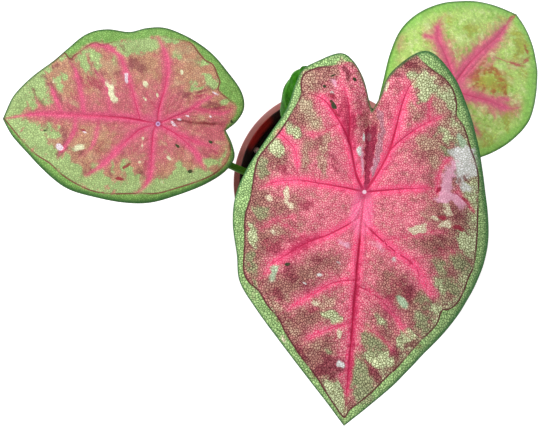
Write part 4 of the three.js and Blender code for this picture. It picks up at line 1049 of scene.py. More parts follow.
def makeBlade(leaf, seed, materials):
    fan, places, fields, ringShares = fanOf(leaf)
    rings, columns = leaf["rings"], fan.shape[1] - 1
    blade = addGrid(leaf["name"], rings, columns)
    i, j = gridShape(blade, rings, columns)
    points, u, t = fan[i, j], places[j], ringShares[i]
    veins = veinFieldsOf(leaf, points, seed)
    toMargin = marginDistance(leaf, points)
    rise = riseOf(leaf, points, u, t, fields[j])
    height = withRelief(rise, points, t, toMargin, veins, seed)
    placePoints(blade, inPlace(leaf, points, height))
    setUvs(blade, "plan", points / bladeFinish["mapSize"] + 0.5)
    paintBlade(blade, leaf, points, toMargin, veins, seed)
    markRibs(blade, points, veins)
    mergeAndRecalc(blade)
    turnUp(blade)
    for material in materials:
        blade.data.materials.append(material)
    shell = blade.modifiers.new("shell", "SOLIDIFY")
    shell.thickness = bladeFinish["thickness"]
    shell.offset = -1
    shell.vertex_group = "ribs"
    shell.thickness_vertex_group = bladeFinish["thinShare"]
    shell.material_offset = 1
    applyAll(blade)
    finishPiece(blade, [leaf["node"]])


# the leaves' colours
# a colour is a pair: the net's cells and its lines. kinds: that pair for each kind of blotch,
# how ragged and how soft the blotch is, and how strongly it shows; green, which comes in two
# steps of its own, has only the first three. dots: (radius, softness, colour, how much it
# shows) at the stalk's top.

frontLook = {
    "far": ("#c88e7e", "#5c1a28"), "rose": ("#ffa2ae", "#c8325a"), "hot": ("#ff7aa0", "#f83e72"),
    "heart": ("#ff92b4", "#fa568a"), "band": ("#bee294", "#587a42"), "olive": ("#cfc49c", "#643434"),
    "vein": "#b80c42", "veinMid": "#c21c50", "veinDim": "#5c1826", "rim": "#2a6430", "rimWidth": 1.2,
    "under": "#b98a86", "netSize": 0.88, "growth": 0.8, "netLine": 0.14, "contrast": 1.0,
    "mesh": 4.4, "meshLine": 0.1, "bandSoft": 0.35, "boundLine": 0.95, "roseSpan": (0.0, 0.75),
    "grain": 0.35, "streak": 1.5, "mottle": 0.42, "veinFar": 1.0,
    "mottleDark": ("#a05254", "#561822"), "mottlePale": ("#e6bea8", "#8e4a48"),
    "dots": [(4.5, 2.6, "#a8104a", 0.55), (1.05, 0.4, "#f3cfe0", 0.95)],
    "kinds": {
        "green": ("#eaf4c0", "#767648", 1.2),
        "moss": ("#b8bc8c", "#525638", 1.3, 0.38, 0.9),
        "beige": ("#e6c8aa", "#7a4038", 1.4, 0.42, 0.8),
        "crimson": ("#bc3c5a", "#74122c", 1.4, 0.42, 0.75),
        "maroon": ("#9c3c4e", "#581020", 1.3, 0.38, 0.8),
        "deep": ("#ce305e", "#9c103a", 1.0, 0.45, 0.75),
        "pale": ("#fffad8", "#b89478", 0.9, 0.3, 0.95),
        "mint": ("#cee8c4", "#8aa884", 0.8, 0.36, 0.9),
        "white": ("#ffffff", "#c0c2b4", 0.9, 0.36, 0.96),
        # pale lilac, in part a painted sheen
        "lilacAndSheen": ("#fcc4d8", "#ec9cbc", 0.9, 0.36, 0.85),
        # painted highlight on the crease's lit wall
        "creaseSheen": ("#c48e9c", "#88505f", 0.9, 0.34, 0.8),
        # crimson with painted shade, deep in the crease
        "creaseShade": ("#a01244", "#72082c", 0.5, 0.3, 0.9),
        "red": ("#b82448", "#86142c", 0.6, 0.3, 0.9),
        "speck": ("#3c4526", "#2c3018", 0.3, 0.22, 1)},
}
leftLook = {
    "far": ("#cc9e78", "#8e504a"), "rose": ("#d4747c", "#96404e"), "hot": ("#e6688a", "#be3a62"),
    "heart": ("#e07090", "#bc4064"), "band": ("#8ebc62", "#4e7e30"), "olive": ("#bda27a", "#8a5f4c"),
    "vein": "#c82a5a", "veinMid": "#c03058", "veinDim": "#782430", "rim": "#1e5420", "rimWidth": 1.6,
    "under": "#b98a86", "netSize": 0.85, "growth": 0.75, "netLine": 0.12, "contrast": 0.8,
    "mesh": 4.2, "meshLine": 0.12, "bandSoft": 1.0, "boundLine": 0.85, "roseSpan": (0.1, 0.9),
    "grain": 0.35, "streak": 2.0, "mottle": 0.25, "veinFar": 0.4,
    "mottleDark": ("#b06458", "#7c343c"), "mottlePale": ("#dcbc98", "#a87868"),
    "dots": [(2.8, 1.2, "#a01c44", 0.5), (1.4, 0.5, "#c8a0d0", 0.9), (0.6, 0.3, "#5a1a3a", 0.9)],
    "kinds": {
        "green": ("#b2cc84", "#708650", 1.3),
        "beige": ("#cfae88", "#94705a", 1.2, 0.45, 0.8),
        "crimson": ("#b8485e", "#86243a", 1.3, 0.45, 0.8),
        "maroon": ("#8e404a", "#602430", 1.4, 0.45, 0.7),
        # crimson with painted shade, in the crease between the lobes
        "crease": ("#8e3038", "#5e1a24", 0.8, 0.4, 0.8),
        "pale": ("#eef4c8", "#c0bc94", 1.2, 0.36, 0.9),
        "white": ("#f8f0f6", "#c8aebc", 1.0, 0.34, 0.95),
        "red": ("#a02038", "#781824", 0.7, 0.3, 0.9),
        "speck": ("#3a4a22", "#2c381a", 0.3, 0.25, 1)},
}
rightLook = {
    "far": ("#bfe07a", "#a0c45e"), "rose": ("#d09a7e", "#bb826e"), "hot": ("#df6a88", "#ca5474"),
    "heart": ("#d8708a", "#c45c78"), "band": ("#98d060", "#80ba4e"),
    "vein": "#cc4a70", "veinMid": "#cc4a70", "veinDim": "#94503e", "rim": "#2c6a20", "rimWidth": 1.7,
    "under": "#a9b884", "netSize": 0.9, "growth": 0.75, "netLine": 0.12, "contrast": 0.45,
    "mesh": 4.2, "meshLine": 0.05, "bandSoft": 2.5, "boundLine": 0.0, "roseSpan": (0.1, 0.9),
    "grain": 0.35, "streak": 1.6, "mottle": 0.7, "veinFar": 0.7,
    "mottleDark": ("#8cc04c", "#74a83e"), "mottlePale": ("#dceca4", "#bcd07c"),
    "dots": [(2.4, 1.2, "#b0485c", 0.6), (0.8, 0.3, "#ecd2d8", 0.8)],
    "kinds": {
        "olive": ("#aeb648", "#949a42", 1.6, 0.45, 0.9),
        "maroon": ("#b06438", "#925032", 1.6, 0.45, 0.85),
        "pale": ("#dcf0a2", "#bcd680", 1.4, 0.45, 0.8)},
}

# sizes of the pattern, the same on every leaf; a scale is in waves to the millimetre
pattern = {
    "growthReach": 110,  # mm from the stalk's top at which the net's cells stop changing size
    "wobbleScale": 0.6, "wobble": 1.2,
    "fanTurns": 11, "fanLength": 0.22,  # the streaks behind the stalk's top fan out
    "veeAcross": (0.42, 0.27), "veeAlong": (0.06, 0.1), "veeStart": 16,  # those ahead bend back
    "patchScale": 0.11, "patchSize": 2.0,
    "raggedScale": 0.42, "raggedSize": 1.1,
    "mottleScale": 0.3,
    "mottleShifts": {"mottleDark": 3.1, "mottlePale": 7.7},
}


def planOf(tree):
    # the leaf's plan in millimetres
    size = bladeFinish["mapSize"]
    inputs = {
        "Vector": uvOf(tree, "plan"), "Location": (-size / 2, -size / 2, 0), "Scale": (size, size, 1)}
    return addNode(tree, "ShaderNodeMapping", inputs).outputs[0]


def netPlace(tree, look, plan, outward):
    # the net's cells grow towards the margin and are pulled about a little
    shrink = ramp(tree, outward, 0, pattern["growthReach"], 1.0, look["growth"])
    inputs = {"Vector": plan, "Scale": pattern["wobbleScale"], "Detail": 1.0}
    wobble = addNode(tree, "ShaderNodeTexNoise", inputs).outputs[1]
    nudge = scaled(tree, shifted(tree, wobble, (-0.5, -0.5, -0.5)), pattern["wobble"])
    return shifted(tree, scaled(tree, plan, shrink), nudge)


def streaksOf(tree, plan, outward):
    # uneven streaks that run away from the stalk's top
    a, b = partsOf(tree, plan)[:2]
    angle = times(tree, maths(tree, "ARCTAN2", b, a), pattern["fanTurns"])
    fan = vectorOf(tree, angle, times(tree, outward, pattern["fanLength"]))
    aside = unsigned(tree, b)
    (acrossA, acrossB), (alongA, alongB) = pattern["veeAcross"], pattern["veeAlong"]
    across = minus(tree, times(tree, a, acrossA), times(tree, aside, acrossB))
    along = plus(tree, times(tree, a, alongA), times(tree, aside, alongB))
    vee = vectorOf(tree, across, along, ramp(tree, b, -1, 1, 0, 5))
    ahead = ramp(tree, a, 0, pattern["veeStart"])
    inVee = times(tree, noiseOf(tree, vee, 1.0, 3, 0.65), ahead)
    inFan = times(tree, noiseOf(tree, fan, 1.0, 3, 0.65), minus(tree, 1.0, ahead))
    return plus(tree, inVee, inFan)


def layersOf(tree, look, kinds, plan, ragged, breakUp):
    # the colours over the far one, lowest first: how much each shows, and its pair
    layers = []
    outside, flush = attribute(tree, "outside"), attribute(tree, "flush")

    def lay(shown, pair):
        layers.append((shown, pair))

    def broken(level, size):
        return plus(tree, level, times(tree, breakUp, size))

    lay(ramp(tree, broken(attribute(tree, "glow"), 0.4), *look["roseSpan"]), look["rose"])
    for key, shift in pattern["mottleShifts"].items():
        moved = shifted(tree, plan, (shift, shift, shift))
        patch = noiseOf(tree, moved, pattern["mottleScale"], 3, 0.65)
        patch = plus(tree, patch, times(tree, ragged, 0.09))
        patch = ramp(tree, patch, 0.5, 0.66, 0, look["mottle"])
        lay(times(tree, patch, ramp(tree, flush, 0.25, 0.7, 1, 0.15)), look[key])
    if "green" in kinds:
        *pair, raggedness = look["kinds"]["green"]
        green = times(tree, attribute(tree, "green"), broken(1.0, raggedness))
        lay(ramp(tree, green, 0.08, 0.45), look["olive"])
        lay(ramp(tree, green, 0.35, 0.75), pair)
    lay(ramp(tree, broken(outside, look["bandSoft"]), -look["bandSoft"], look["bandSoft"]), look["band"])
    for kind in kinds:
        if kind == "green":
            continue
        *pair, raggedness, soft, shown = look["kinds"][kind]
        level = times(tree, attribute(tree, kind), broken(1.0, raggedness))
        lay(ramp(tree, level, 0.5 - soft, 0.5 + soft, 0, shown), pair)
        if kind == "maroon":
            lay(ramp(tree, broken(flush, 0.2), 0.08, 0.85), look["hot"])
    lay(ramp(tree, broken(attribute(tree, "heart"), 0.2), 0.1, 0.9), look["heart"])
    return layers


def veinLineOf(tree, look, outward):
    # vein lines thin out towards the margin and stay inside the bound
    width, heart = attribute(tree, "veinWidth"), attribute(tree, "heart")
    share = maths(tree, "DIVIDE", unsigned(tree, attribute(tree, "veinSide")), width)
    line = ramp(tree, share, 0.4, 1.3, 1, 0)
    line = times(tree, line, ramp(tree, width, 0.05, 0.4, 0.45, 0.9))
    line = times(tree, line, ramp(tree, attribute(tree, "outside"), -0.2, 0.5, 1, 0))
    line = times(tree, line, ramp(tree, outward, 10, 30, 1, look["veinFar"]))
    return times(tree, line, ramp(tree, heart, 0.2, 0.8, 1, 0.35))


def boundLineOf(tree, look, patchy):
    line = ramp(tree, unsigned(tree, attribute(tree, "outside")), 0.2, 0.55, look["boundLine"], 0)
    line = times(tree, line, attribute(tree, "boundShown"))
    return times(tree, line, ramp(tree, patchy, -0.4, 0.0, 0.3, 1))


def bladeMaterial(name, look, kinds, underside=False):
    material, tree = newMaterial(name)
    plan = planOf(tree)
    outward = addNode(tree, "ShaderNodeVectorMath", {0: plan}, operation="LENGTH").outputs["Value"]
    where = netPlace(tree, look, plan, outward)
    cellDraw = cellsOf(tree, where, look["netSize"], "F1").outputs["Color"]
    cellDraw = addNode(tree, "ShaderNodeSeparateColor", {0: cellDraw}).outputs

    # unevenness at three sizes: patches, ragged streaks and single cells
    patchy = noiseOf(tree, plan, pattern["patchScale"], 3, 0.6)
    patchy = swing(tree, patchy, pattern["patchSize"])
    ragged = noiseOf(tree, plan, pattern["raggedScale"], 3, 0.7)
    ragged = swing(tree, ragged, pattern["raggedSize"])
    ragged = swung(tree, ragged, streaksOf(tree, plan, outward), look["streak"])
    breakUp = swung(tree, plus(tree, patchy, ragged), cellDraw[0], look["grain"])

    # a fine net, and a wide one over it
    fineEdge = cellsOf(tree, where, look["netSize"], "DISTANCE_TO_EDGE").outputs["Distance"]
    fineEdge = minus(tree, fineEdge, times(tree, ragged, 0.07))
    fineNet = ramp(tree, fineEdge, look["netLine"] * 0.3, look["netLine"] * 1.7, 1, 0)
    wideEdge = cellsOf(tree, where, look["mesh"], "DISTANCE_TO_EDGE").outputs["Distance"]
    wideNet = ramp(tree, wideEdge, 0.012, 0.05, 1, 0)
    net = maths(tree, "MAXIMUM", fineNet, wideNet)

    cell, line = (colour(one) for one in look["far"])
    for shown, (cellOver, lineOver) in layersOf(tree, look, kinds, plan, ragged, breakUp):
        cell = blend(tree, shown, cell, colour(cellOver))
        line = blend(tree, shown, line, colour(lineOver))
    tone = ramp(tree, cellDraw[1], 0, 1, 0.86, 1.1)
    tone = times(tree, tone, ramp(tree, patchy, -0.5, 0.5, 0.92, 1.07))
    cell = blend(tree, 1.0, cell, grey(tree, tone), "MULTIPLY")
    fineShown = times(tree, fineNet, look["contrast"])
    wideShown = times(tree, wideNet, look["meshLine"] + 0.3)
    base = blend(tree, maths(tree, "MAXIMUM", fineShown, wideShown), cell, line)
    flush = attribute(tree, "flush")
    dim, mid, bright = (colour(look[key]) for key in ("veinDim", "veinMid", "vein"))
    meshShown = times(tree, times(tree, wideNet, look["meshLine"]), ramp(tree, flush, 0.1, 0.5, 1, 0))
    base = blend(tree, meshShown, base, dim)

    # veins are crimson near the stalk and darker towards the margin
    veinLine = veinLineOf(tree, look, outward)
    veinColour = blend(tree, ramp(tree, outward, 22, 50), mid, dim)
    veinColour = blend(tree, ramp(tree, flush, 0.2, 0.6), veinColour, bright)
    base = blend(tree, veinLine, base, veinColour)
    base = blend(tree, boundLineOf(tree, look, patchy), base, dim)
    # painted shade: the blade is darker towards its left side, and there the dark rim along the margin
    # is wider
    base = blend(tree, 1.0, base, grey(tree, attribute(tree, "sideShade")), "MULTIPLY")
    edge = plus(tree, attribute(tree, "edge"), times(tree, ragged, 0.4))
    base = blend(tree, ramp(tree, edge, 0.1, look["rimWidth"], 0.9, 0), base, colour(look["rim"]))

    # where the stalk meets the blade: a pale dot in a dark ring
    for radius, soft, dot, shown in look["dots"]:
        base = blend(tree, ramp(tree, outward, radius - soft, radius, shown, 0), base, colour(dot))
    if underside:
        base = blend(tree, 0.5, base, colour(look["under"]))

    relief = plus(tree, times(tree, net, -0.6), times(tree, veinLine, -0.5))
    finishMaterial(tree, {
        "Base Color": base, "Roughness": ramp(tree, plus(tree, net, ragged), -0.5, 1.2, 0.42, 0.6),
        "Specular IOR Level": 0.22,
        "Normal": bumpOf(tree, relief, 0.0003, 0.4)})
    return material


leaves = ((frontLeaf, frontLook), (leftLeaf, leftLook), (rightLeaf, rightLook))
for seed, (leaf, look) in enumerate(leaves, bladeFinish["seed"]):
    kinds = list(leaf["marks"])
    upper = bladeMaterial(leaf["name"] + "Upper", look, kinds)
    lower = bladeMaterial(leaf["name"] + "Lower", look, kinds, underside=True)
    makeBlade(leaf, seed, (upper, lower))
print("blades ready")


# the stalks and the rolled leaf

def tubeFrames(path, share):
    # centres along a round curve, with two directions across it that don't twist
    centres = evenlyAlong(path, share)
    ahead = np.gradient(centres, axis=0)
    ahead /= np.linalg.norm(ahead, axis=1)[:, None]
    first = np.cross(ahead[0], (0, 1, 0))
    sideways = [first / np.linalg.norm(first)]
    for step in ahead[1:]:
        kept = sideways[-1] - (sideways[-1] @ step) * step
        sideways.append(kept / np.linalg.norm(kept))
    sideways = np.array(sideways)
    return centres, sideways, np.cross(ahead, sideways)


def makeTube(name, path, radiusAt, steps, sides):
    # a closed tube along a path; radiusAt gives the radius at a share of the way and an angle
    tube = addGrid(name, steps, sides)
    i, j = gridShape(tube, steps, sides)
    share = np.concatenate([[0], np.linspace(0, 1, steps - 1), [1]])
    frames = tubeFrames(path, share[1:-1])
    centres, across, upward = (np.concatenate([x[:1], x, x[-1:]]) for x in frames)
    angle = math.tau * j / sides
    radius = radiusAt(share[i], angle)
    radius[(i == 0) | (i == steps)] = 0
    points = centres[i] + radius[:, None] * (
        np.cos(angle)[:, None] * across[i] + np.sin(angle)[:, None] * upward[i])
    placePoints(tube, mm * points)
    setUvs(tube, "wrap", np.stack([angle / math.tau, share[i]], 1))
    mergeAndRecalc(tube)
    return tube


stalkLook = {
    "green": "#3c700c", "dark": "#264e06", "light": "#5a8820", "foot": "#6b4e34",
    "steps": 120, "sides": 40, "streakScale": 26, "fleckScale": 900,
}

# paths of centres, and the radius at the foot, in the middle and at the top
stalks = {
    "frontLeafPetiole": {
        "node": "front_leaf_petiole",
        "path": [(3, -5, 50), (4.5, -5, 100), (7.5, -5, 160), (9.2, -6.6, 210), (8.8, -7.7, 227)],
        "radii": (3.4, 2.3, 2.6)},
    "leftLeafPetiole": {
        "node": "left_leaf_petiole",
        "path": [
            (-6, -1, 50), (-14, -0.5, 74), (-32, 2, 96), (-50, 7.5, 112), (-69, 16.5, 135),
            (-82, 24.5, 155), (-87, 27, 164)],
        "radii": (3, 1.9, 2.2)},
    "rightLeafPetiole": {
        "node": "right_leaf_petiole",
        "path": [
            (6, 4, 50), (10, 7, 74), (23, 17, 115), (39, 29.5, 155), (49.5, 38.5, 177),
            (53.8, 42.2, 185)],
        "radii": (2.9, 1.7, 2)},
}


def stalkMaterial():
    material, tree = newMaterial("stalkSkin")
    wrap = uvOf(tree, "wrap")
    streaks = noiseOf(tree, stretched(tree, wrap, (1, 0.08, 1)), stalkLook["streakScale"], 3, 0.6)
    flecks = noiseOf(tree, placeOn(tree), stalkLook["fleckScale"], 3, 0.7)
    green, dark, light, foot = (colour(stalkLook[key]) for key in ("green", "dark", "light", "foot"))
    base = blend(tree, ramp(tree, streaks, 0.35, 0.65), green, dark)
    base = blend(tree, ramp(tree, flecks, 0.58, 0.7, 0, 0.5), base, light)
    height = swung(tree, partsOf(tree, wrap)[1], streaks, 0.25)
    base = blend(tree, ramp(tree, height, 0.12, 0.42, 0.75, 0), base, foot)
    finishMaterial(tree, {
        "Base Color": base, "Roughness": ramp(tree, streaks, 0.2, 0.8, 0.42, 0.56),
        "Specular IOR Level": 0.06,
        "Normal": bumpOf(tree, streaks, 0.00035)})
    return material


def makeStalks():
    skin = stalkMaterial()
    for name, stalk in stalks.items():
        foot, middle, top = stalk["radii"]

        def radiusAt(share, angle):
            radius = foot + (middle - foot) * smoothStep(share, 0, 0.3)
            radius = radius + (top - middle) * smoothStep(share, 0.88, 1)
            return radius + 0.05 * np.sin(11 * angle + 4 * share) + 0.04 * np.sin(5 * angle - 9 * share)

        tube = makeTube(name, stalk["path"], radiusAt, stalkLook["steps"], stalkLook["sides"])
        tube.data.materials.append(skin)
        finishPiece(tube, [stalk["node"]])


furled = {
    "path": [
        (-2.5, 6.5, 50), (-8, 13, 76), (-16, 24.5, 100), (-20.5, 33.5, 120), (-18.4, 44, 143),
        (-14.3, 55, 167)],
    "profile": [  # (share of the way, radius)
        (0, 2.9), (0.2, 2.1), (0.42, 2.3), (0.55, 4), (0.68, 6.4), (0.8, 7.1), (0.9, 5.4),
        (0.97, 2.4), (1, 0.4)],
    "lip": 0.08,  # how far the outer edge stands out, as a share of the radius
    "twist": 1.1,  # turns of that edge along the roll
    "lipWidth": 0.035,  # the step's share of a turn
    "steps": 160,
    "sides": 96,
    # the last colour is painted shade in the roll's crease; light also paints a highlight along the
    # roll's edge
    "green": "#328200", "dark": "#1a5600", "light": "#469006", "rollCreaseShade": "#16400a",
}


def furledMaterial():
    material, tree = newMaterial("furledSkin")
    along, wound = partsOf(tree, uvOf(tree, "wrap"))[1], attribute(tree, "wound")
    # side veins sweep up and round the roll
    sweep = plus(tree, times(tree, along, 46), times(tree, wound, 7))
    line = unsigned(tree, minus(tree, maths(tree, "FRACT", sweep), 0.5))
    rolled = ramp(tree, along, 0.45, 0.62)
    line = times(tree, ramp(tree, line, 0.0, 0.12, 1, 0), rolled)
    patchy = noiseOf(tree, placeOn(tree), 120, 4, 0.6)
    green, dark, light, rollCreaseShade = (colour(furled[key]) for key in ("green", "dark", "light", "rollCreaseShade"))
    base = blend(tree, ramp(tree, patchy, 0.35, 0.65), green, dark)
    base = blend(tree, times(tree, line, 0.5), base, light)
    # painted highlight: a lighter band along the roll's outer edge
    edge = times(tree, ramp(tree, wound, 0.9, 0.985), rolled)
    base = blend(tree, times(tree, edge, 0.3), base, light)
    # painted shade: dark green in the crease under the roll's edge
    base = blend(tree, times(tree, ramp(tree, wound, 0.0, 0.05, 0.4, 0), rolled), base, rollCreaseShade)
    base = blend(tree, ramp(tree, along, 0.08, 0.3, 0.7, 0), base, colour(stalkLook["foot"]))
    relief = plus(tree, times(tree, line, -0.7), patchy)
    finishMaterial(tree, {
        "Base Color": base, "Roughness": ramp(tree, patchy, 0.3, 0.7, 0.45, 0.6),
        "Specular IOR Level": 0.05,
        "Normal": bumpOf(tree, relief, 0.0003)})
    return material


def woundAt(share, angle):
    # how far round the roll a point lies from the outer edge, from 0 to 1
    return (angle / math.tau + furled["twist"] * share) % 1


def furledRadius(share, angle):
    shares, radii = np.array(furled["profile"]).T
    k = np.clip(np.searchsorted(shares, share, side="left"), 1, len(shares) - 1)
    step = smoothStep((share - shares[k - 1]) / (shares[k] - shares[k - 1]), 0, 1)
    radius = radii[k - 1] * (1 - step) + radii[k] * step
    wound, lipWidth = woundAt(share, angle), furled["lipWidth"]
    spiral = np.where(wound < lipWidth, 1 - wound / lipWidth, (wound - lipWidth) / (1 - lipWidth))
    return radius * (1 + furled["lip"] * smoothStep(share, 0.45, 0.6) * (spiral - 0.5))


def makeFurledLeaf():
    tube = makeTube("furledLeaf", furled["path"], furledRadius, furled["steps"], furled["sides"])
    corners = cornersOf(tube)
    wrap = np.empty(len(corners) * 2)
    tube.data.uv_layers["wrap"].data.foreach_get("uv", wrap)
    turn, share = np.zeros((2, len(tube.data.vertices)))
    turn[corners], share[corners] = wrap[::2], wrap[1::2]
    setField(tube, "wound", woundAt(share, math.tau * turn))
    tube.data.materials.append(furledMaterial())
    finishPiece(tube, ["furled_leaf"])


makeStalks()
makeFurledLeaf()
print("stalks ready")


# the pot

pot = {
    "height": 90, "rimRadius": 52.5, "rimWidth": 3.9, "skirtDepth": 10, "skirtWall": 1.2,
    "flare": 0.5, "baseRadius": 37.5, "wall": 1.3, "floor": 1.8, "edge": 1.2, "flange": 1.4,
    "rimRound": 1, "rimBevel": 0.3, "lipRound": 0.8, "lipBevel": 0.2, "softEdge": 0.3,
    "drainHoles": 8, "drainRadius": 4, "drainCircle": 27, "drainSides": 40, "steps": 144,
    # painted shade and light among these: the darker brown on one side, the near black inner wall, and
    # the red painted light on the inner wall
    "body": "#a8605c", "worn": "#ba7c78", "paintedShade": "#74382e", "dust": "#c9b3a4",
    "inside": "#0c0302", "stained": "#0c0605", "paintedWallLight": "#a81a14",
    "patchScale": 45, "grainScale": 1800, "scuffScale": 70,
}


def innerRadius(z):
    topInside, baseInside = pot["rimRadius"] - pot["rimWidth"], pot["baseRadius"] - pot["wall"]
    return baseInside + (topInside - baseInside) * z / pot["height"]


def potProfile():
    # from the middle of the foot out, up the wall, round the rim and down inside
    height, under = pot["height"], pot["height"] - pot["flange"]
    skirtFoot, skirtInside = height - pot["skirtDepth"], pot["rimRadius"] - pot["skirtWall"]
    rim, base, edge, lowest = pot["rimRadius"], pot["baseRadius"], pot["edge"], pot["floor"]
    flare, curve, bevel = pot["flare"], pot["rimRound"], pot["rimBevel"]
    return [
        (0, 0), (base - edge, 0), (base, edge),
        (innerRadius(skirtFoot) + pot["wall"], skirtFoot), (innerRadius(under) + pot["wall"], under),
        (skirtInside, under), (skirtInside - flare, skirtFoot), (rim - flare, skirtFoot),
        (rim, height - curve), (rim - bevel, height - bevel), (rim - curve, height),
        (innerRadius(height) + pot["lipRound"], height),
        (innerRadius(height) + pot["lipBevel"], height - bevel),
        (innerRadius(height - curve), height - curve),
        (innerRadius(lowest + edge), lowest + edge), (innerRadius(lowest) - edge, lowest),
        (0, lowest)]


def spinPot():
    # one vertex led round the profile by extrusion, then spun about the axis
    profile = potProfile()
    deselectAll()
    bpy.ops.mesh.primitive_plane_add(size=mm, location=(0, 0, 0))
    piece = bpy.context.object
    piece.name = piece.data.name = "nurseryPot"
    bpy.ops.object.mode_set(mode="EDIT")
    bpy.ops.mesh.select_all(action="SELECT")
    bpy.ops.mesh.merge(type="CENTER")
    for (r0, z0), (r1, z1) in zip(profile, profile[1:]):
        step = Vector((r1 - r0, 0, z1 - z0)) * mm
        bpy.ops.mesh.extrude_region_move(TRANSFORM_OT_translate={"value": step})
    bpy.ops.mesh.select_all(action="SELECT")
    bpy.ops.mesh.spin(steps=pot["steps"], angle=math.tau, center=(0, 0, 0), axis=(0, 0, 1))
    bpy.ops.object.mode_set(mode="OBJECT")
    mergeAndRecalc(piece)
    return piece


def drainPot(piece):
    drills = []
    for k in range(pot["drainHoles"]):
        angle = (k + 0.5) / pot["drainHoles"] * math.tau
        deselectAll()
        bpy.ops.mesh.primitive_cylinder_add(
            vertices=pot["drainSides"], radius=pot["drainRadius"] * mm, depth=3 * pot["floor"] * mm,
            location=(pot["drainCircle"] * math.cos(angle) * mm,
                      pot["drainCircle"] * math.sin(angle) * mm, pot["floor"] / 2 * mm))
        drills.append(bpy.context.object)
    cutter = joinAll(drills)
    cut = piece.modifiers.new("drain", "BOOLEAN")
    cut.operation = "DIFFERENCE"
    cut.object = cutter
    cut.solver = "EXACT"
    applyAll(piece)
    bpy.data.objects.remove(cutter)


def makePot():
    piece = spinPot()
    drainPot(piece)
    soften = piece.modifiers.new("soften", "BEVEL")
    soften.width = pot["softEdge"] * mm
    soften.segments = 3
    soften.limit_method = "ANGLE"
    soften.angle_limit = math.radians(40)
    applyAll(piece)
    piece.data.materials.clear()
    piece.data.materials.append(potMaterial())
    finishPiece(piece, ["pot"], smoothAngle=35)


def potMaterial():
    material, tree = newMaterial("terracottaPlastic")
    place = placeOn(tree)
    x, y, z = partsOf(tree, place)
    radius = maths(tree, "SQRT", plus(tree, times(tree, x, x), times(tree, y, y)))
    patchy = noiseOf(tree, place, pot["patchScale"], 4, 0.6)
    fine = noiseOf(tree, place, pot["grainScale"], 2, 0.6)
    scuffs = noiseOf(tree, stretched(tree, place, (1, 1, 14)), pot["scuffScale"], 5, 0.75)
    dust = colour(pot["dust"])
    base = blend(tree, ramp(tree, patchy, 0.35, 0.7), colour(pot["body"]), colour(pot["worn"]))
    base = blend(tree, ramp(tree, scuffs, 0.62, 0.72, 0, 0.45), base, dust)
    # painted shade: the side away from the key light is painted darker brown
    paintedShade = ramp(tree, swung(tree, y, patchy, 0.02), 0.0, 0.024, 0.8, 0)
    base = blend(tree, paintedShade, base, colour(pot["paintedShade"]))
    # painted shade: the inner wall is painted near black, and stained by the mix up to a ragged line
    wallInside = (innerRadius(0) + pot["wall"] * 0.5) * mm
    slope = (innerRadius(pot["height"]) - innerRadius(0)) / pot["height"]
    wall = plus(tree, times(tree, z, slope), wallInside)
    inner = ramp(tree, minus(tree, wall, radius), -0.0001, 0.0001)
    inner = times(tree, inner, ramp(tree, z, 0.0012, 0.0018))
    base = blend(tree, times(tree, inner, 0.95), base, colour(pot["inside"]))
    # painted light: the inner wall is painted glowing red on the side towards the key light
    sunward = plus(tree, times(tree, x, -0.8), times(tree, y, 0.6))
    lit = ramp(tree, maths(tree, "DIVIDE", sunward, radius), 0.965, 0.992, 0, 0.85)
    base = blend(tree, times(tree, inner, lit), base, colour(pot["paintedWallLight"]))
    stain = ramp(tree, swung(tree, z, patchy, 0.02), 0.072, 0.08, 0.85, 0)
    base = blend(tree, times(tree, inner, stain), base, colour(pot["stained"]))
    base = blend(tree, ramp(tree, swung(tree, z, patchy, 0.03), 0.0, 0.03, 0.35, 0), base, dust)
    relief = plus(tree, times(tree, fine, 0.4), scuffs)
    finishMaterial(tree, {
        "Base Color": base, "Roughness": ramp(tree, scuffs, 0.3, 0.75, 0.38, 0.62),
        "Normal": bumpOf(tree, relief, 0.00012)})
    return material


makePot()
print("pot ready")


# the potting mix and the tuber in it

mix = {
    "top": 70, "mound": 1.6, "lumps": 0.9, "floor": 2.1, "gap": 0.45, "rings": 90, "sides": 220,
    "wallSteps": 3, "dark": "#070504", "brown": "#1e130e", "bark": "#302018", "scale": 500,
}

# what lies loose on the bed. sizes: in mm, from and to. sink: how high a grain of 1 mm sits
grains = {
    "mixCrumbs": {
        "shape": "crumb", "shapes": 4, "seed": 21, "count": 620, "stretch": (1, 0.85, 0.7),
        "subdivisions": 1, "sizes": (0.5, 1.5), "sink": 0.25, "more": [],
        "colours": ("#070504", "#1e130e"), "scale": 700},
    "barkChips": {
        "shape": "bark", "shapes": 3, "seed": 22, "count": 60, "stretch": (2.4, 1.1, 0.4),
        "subdivisions": 2, "sizes": (0.6, 1.6), "sink": 0.4, "more": [],
        "colours": ("#1e130e", "#302018"), "scale": 900},
    "perliteGrains": {
        "shape": "perlite", "shapes": 2, "seed": 23, "count": 34, "stretch": (1, 1, 0.85),
        "subdivisions": 2, "sizes": (0.45, 1.0), "sink": 0.3, "more": [(-39.5, 19.5, 2.0)],
        "colours": ("#c9b0aa", "#b89a92"), "scale": 900},
}
wallClear = 2.2  # no loose grain lies nearer than this to the bed's edge, in mm


def mixHeight(x, y, inside):
    middle = 1 - np.hypot(x, y) / inside
    lump = np.sin(x * 0.51 + 1.3) * np.cos(y * 0.43) + np.sin((x + y) * 0.29)
    return mix["top"] + mix["mound"] * middle + mix["lumps"] * lump * np.clip(3 * middle, 0, 1)


def mixMaterial(name, first, second, scale):
    material, tree = newMaterial(name)
    place = placeOn(tree)
    coarse = noiseOf(tree, place, scale, 5, 0.7)
    fine = noiseOf(tree, place, scale * 5, 3, 0.7)
    base = blend(tree, ramp(tree, coarse, 0.45, 0.72), colour(first), colour(second))
    base = blend(tree, ramp(tree, fine, 0.62, 0.7, 0, 0.4), base, colour(mix["bark"]))
    finishMaterial(tree, {
        "Base Color": base, "Roughness": ramp(tree, fine, 0.3, 0.7, 0.75, 0.95),
        "Specular IOR Level": 0.25,
        "Normal": bumpOf(tree, plus(tree, coarse, fine), 0.0006)})
    return material


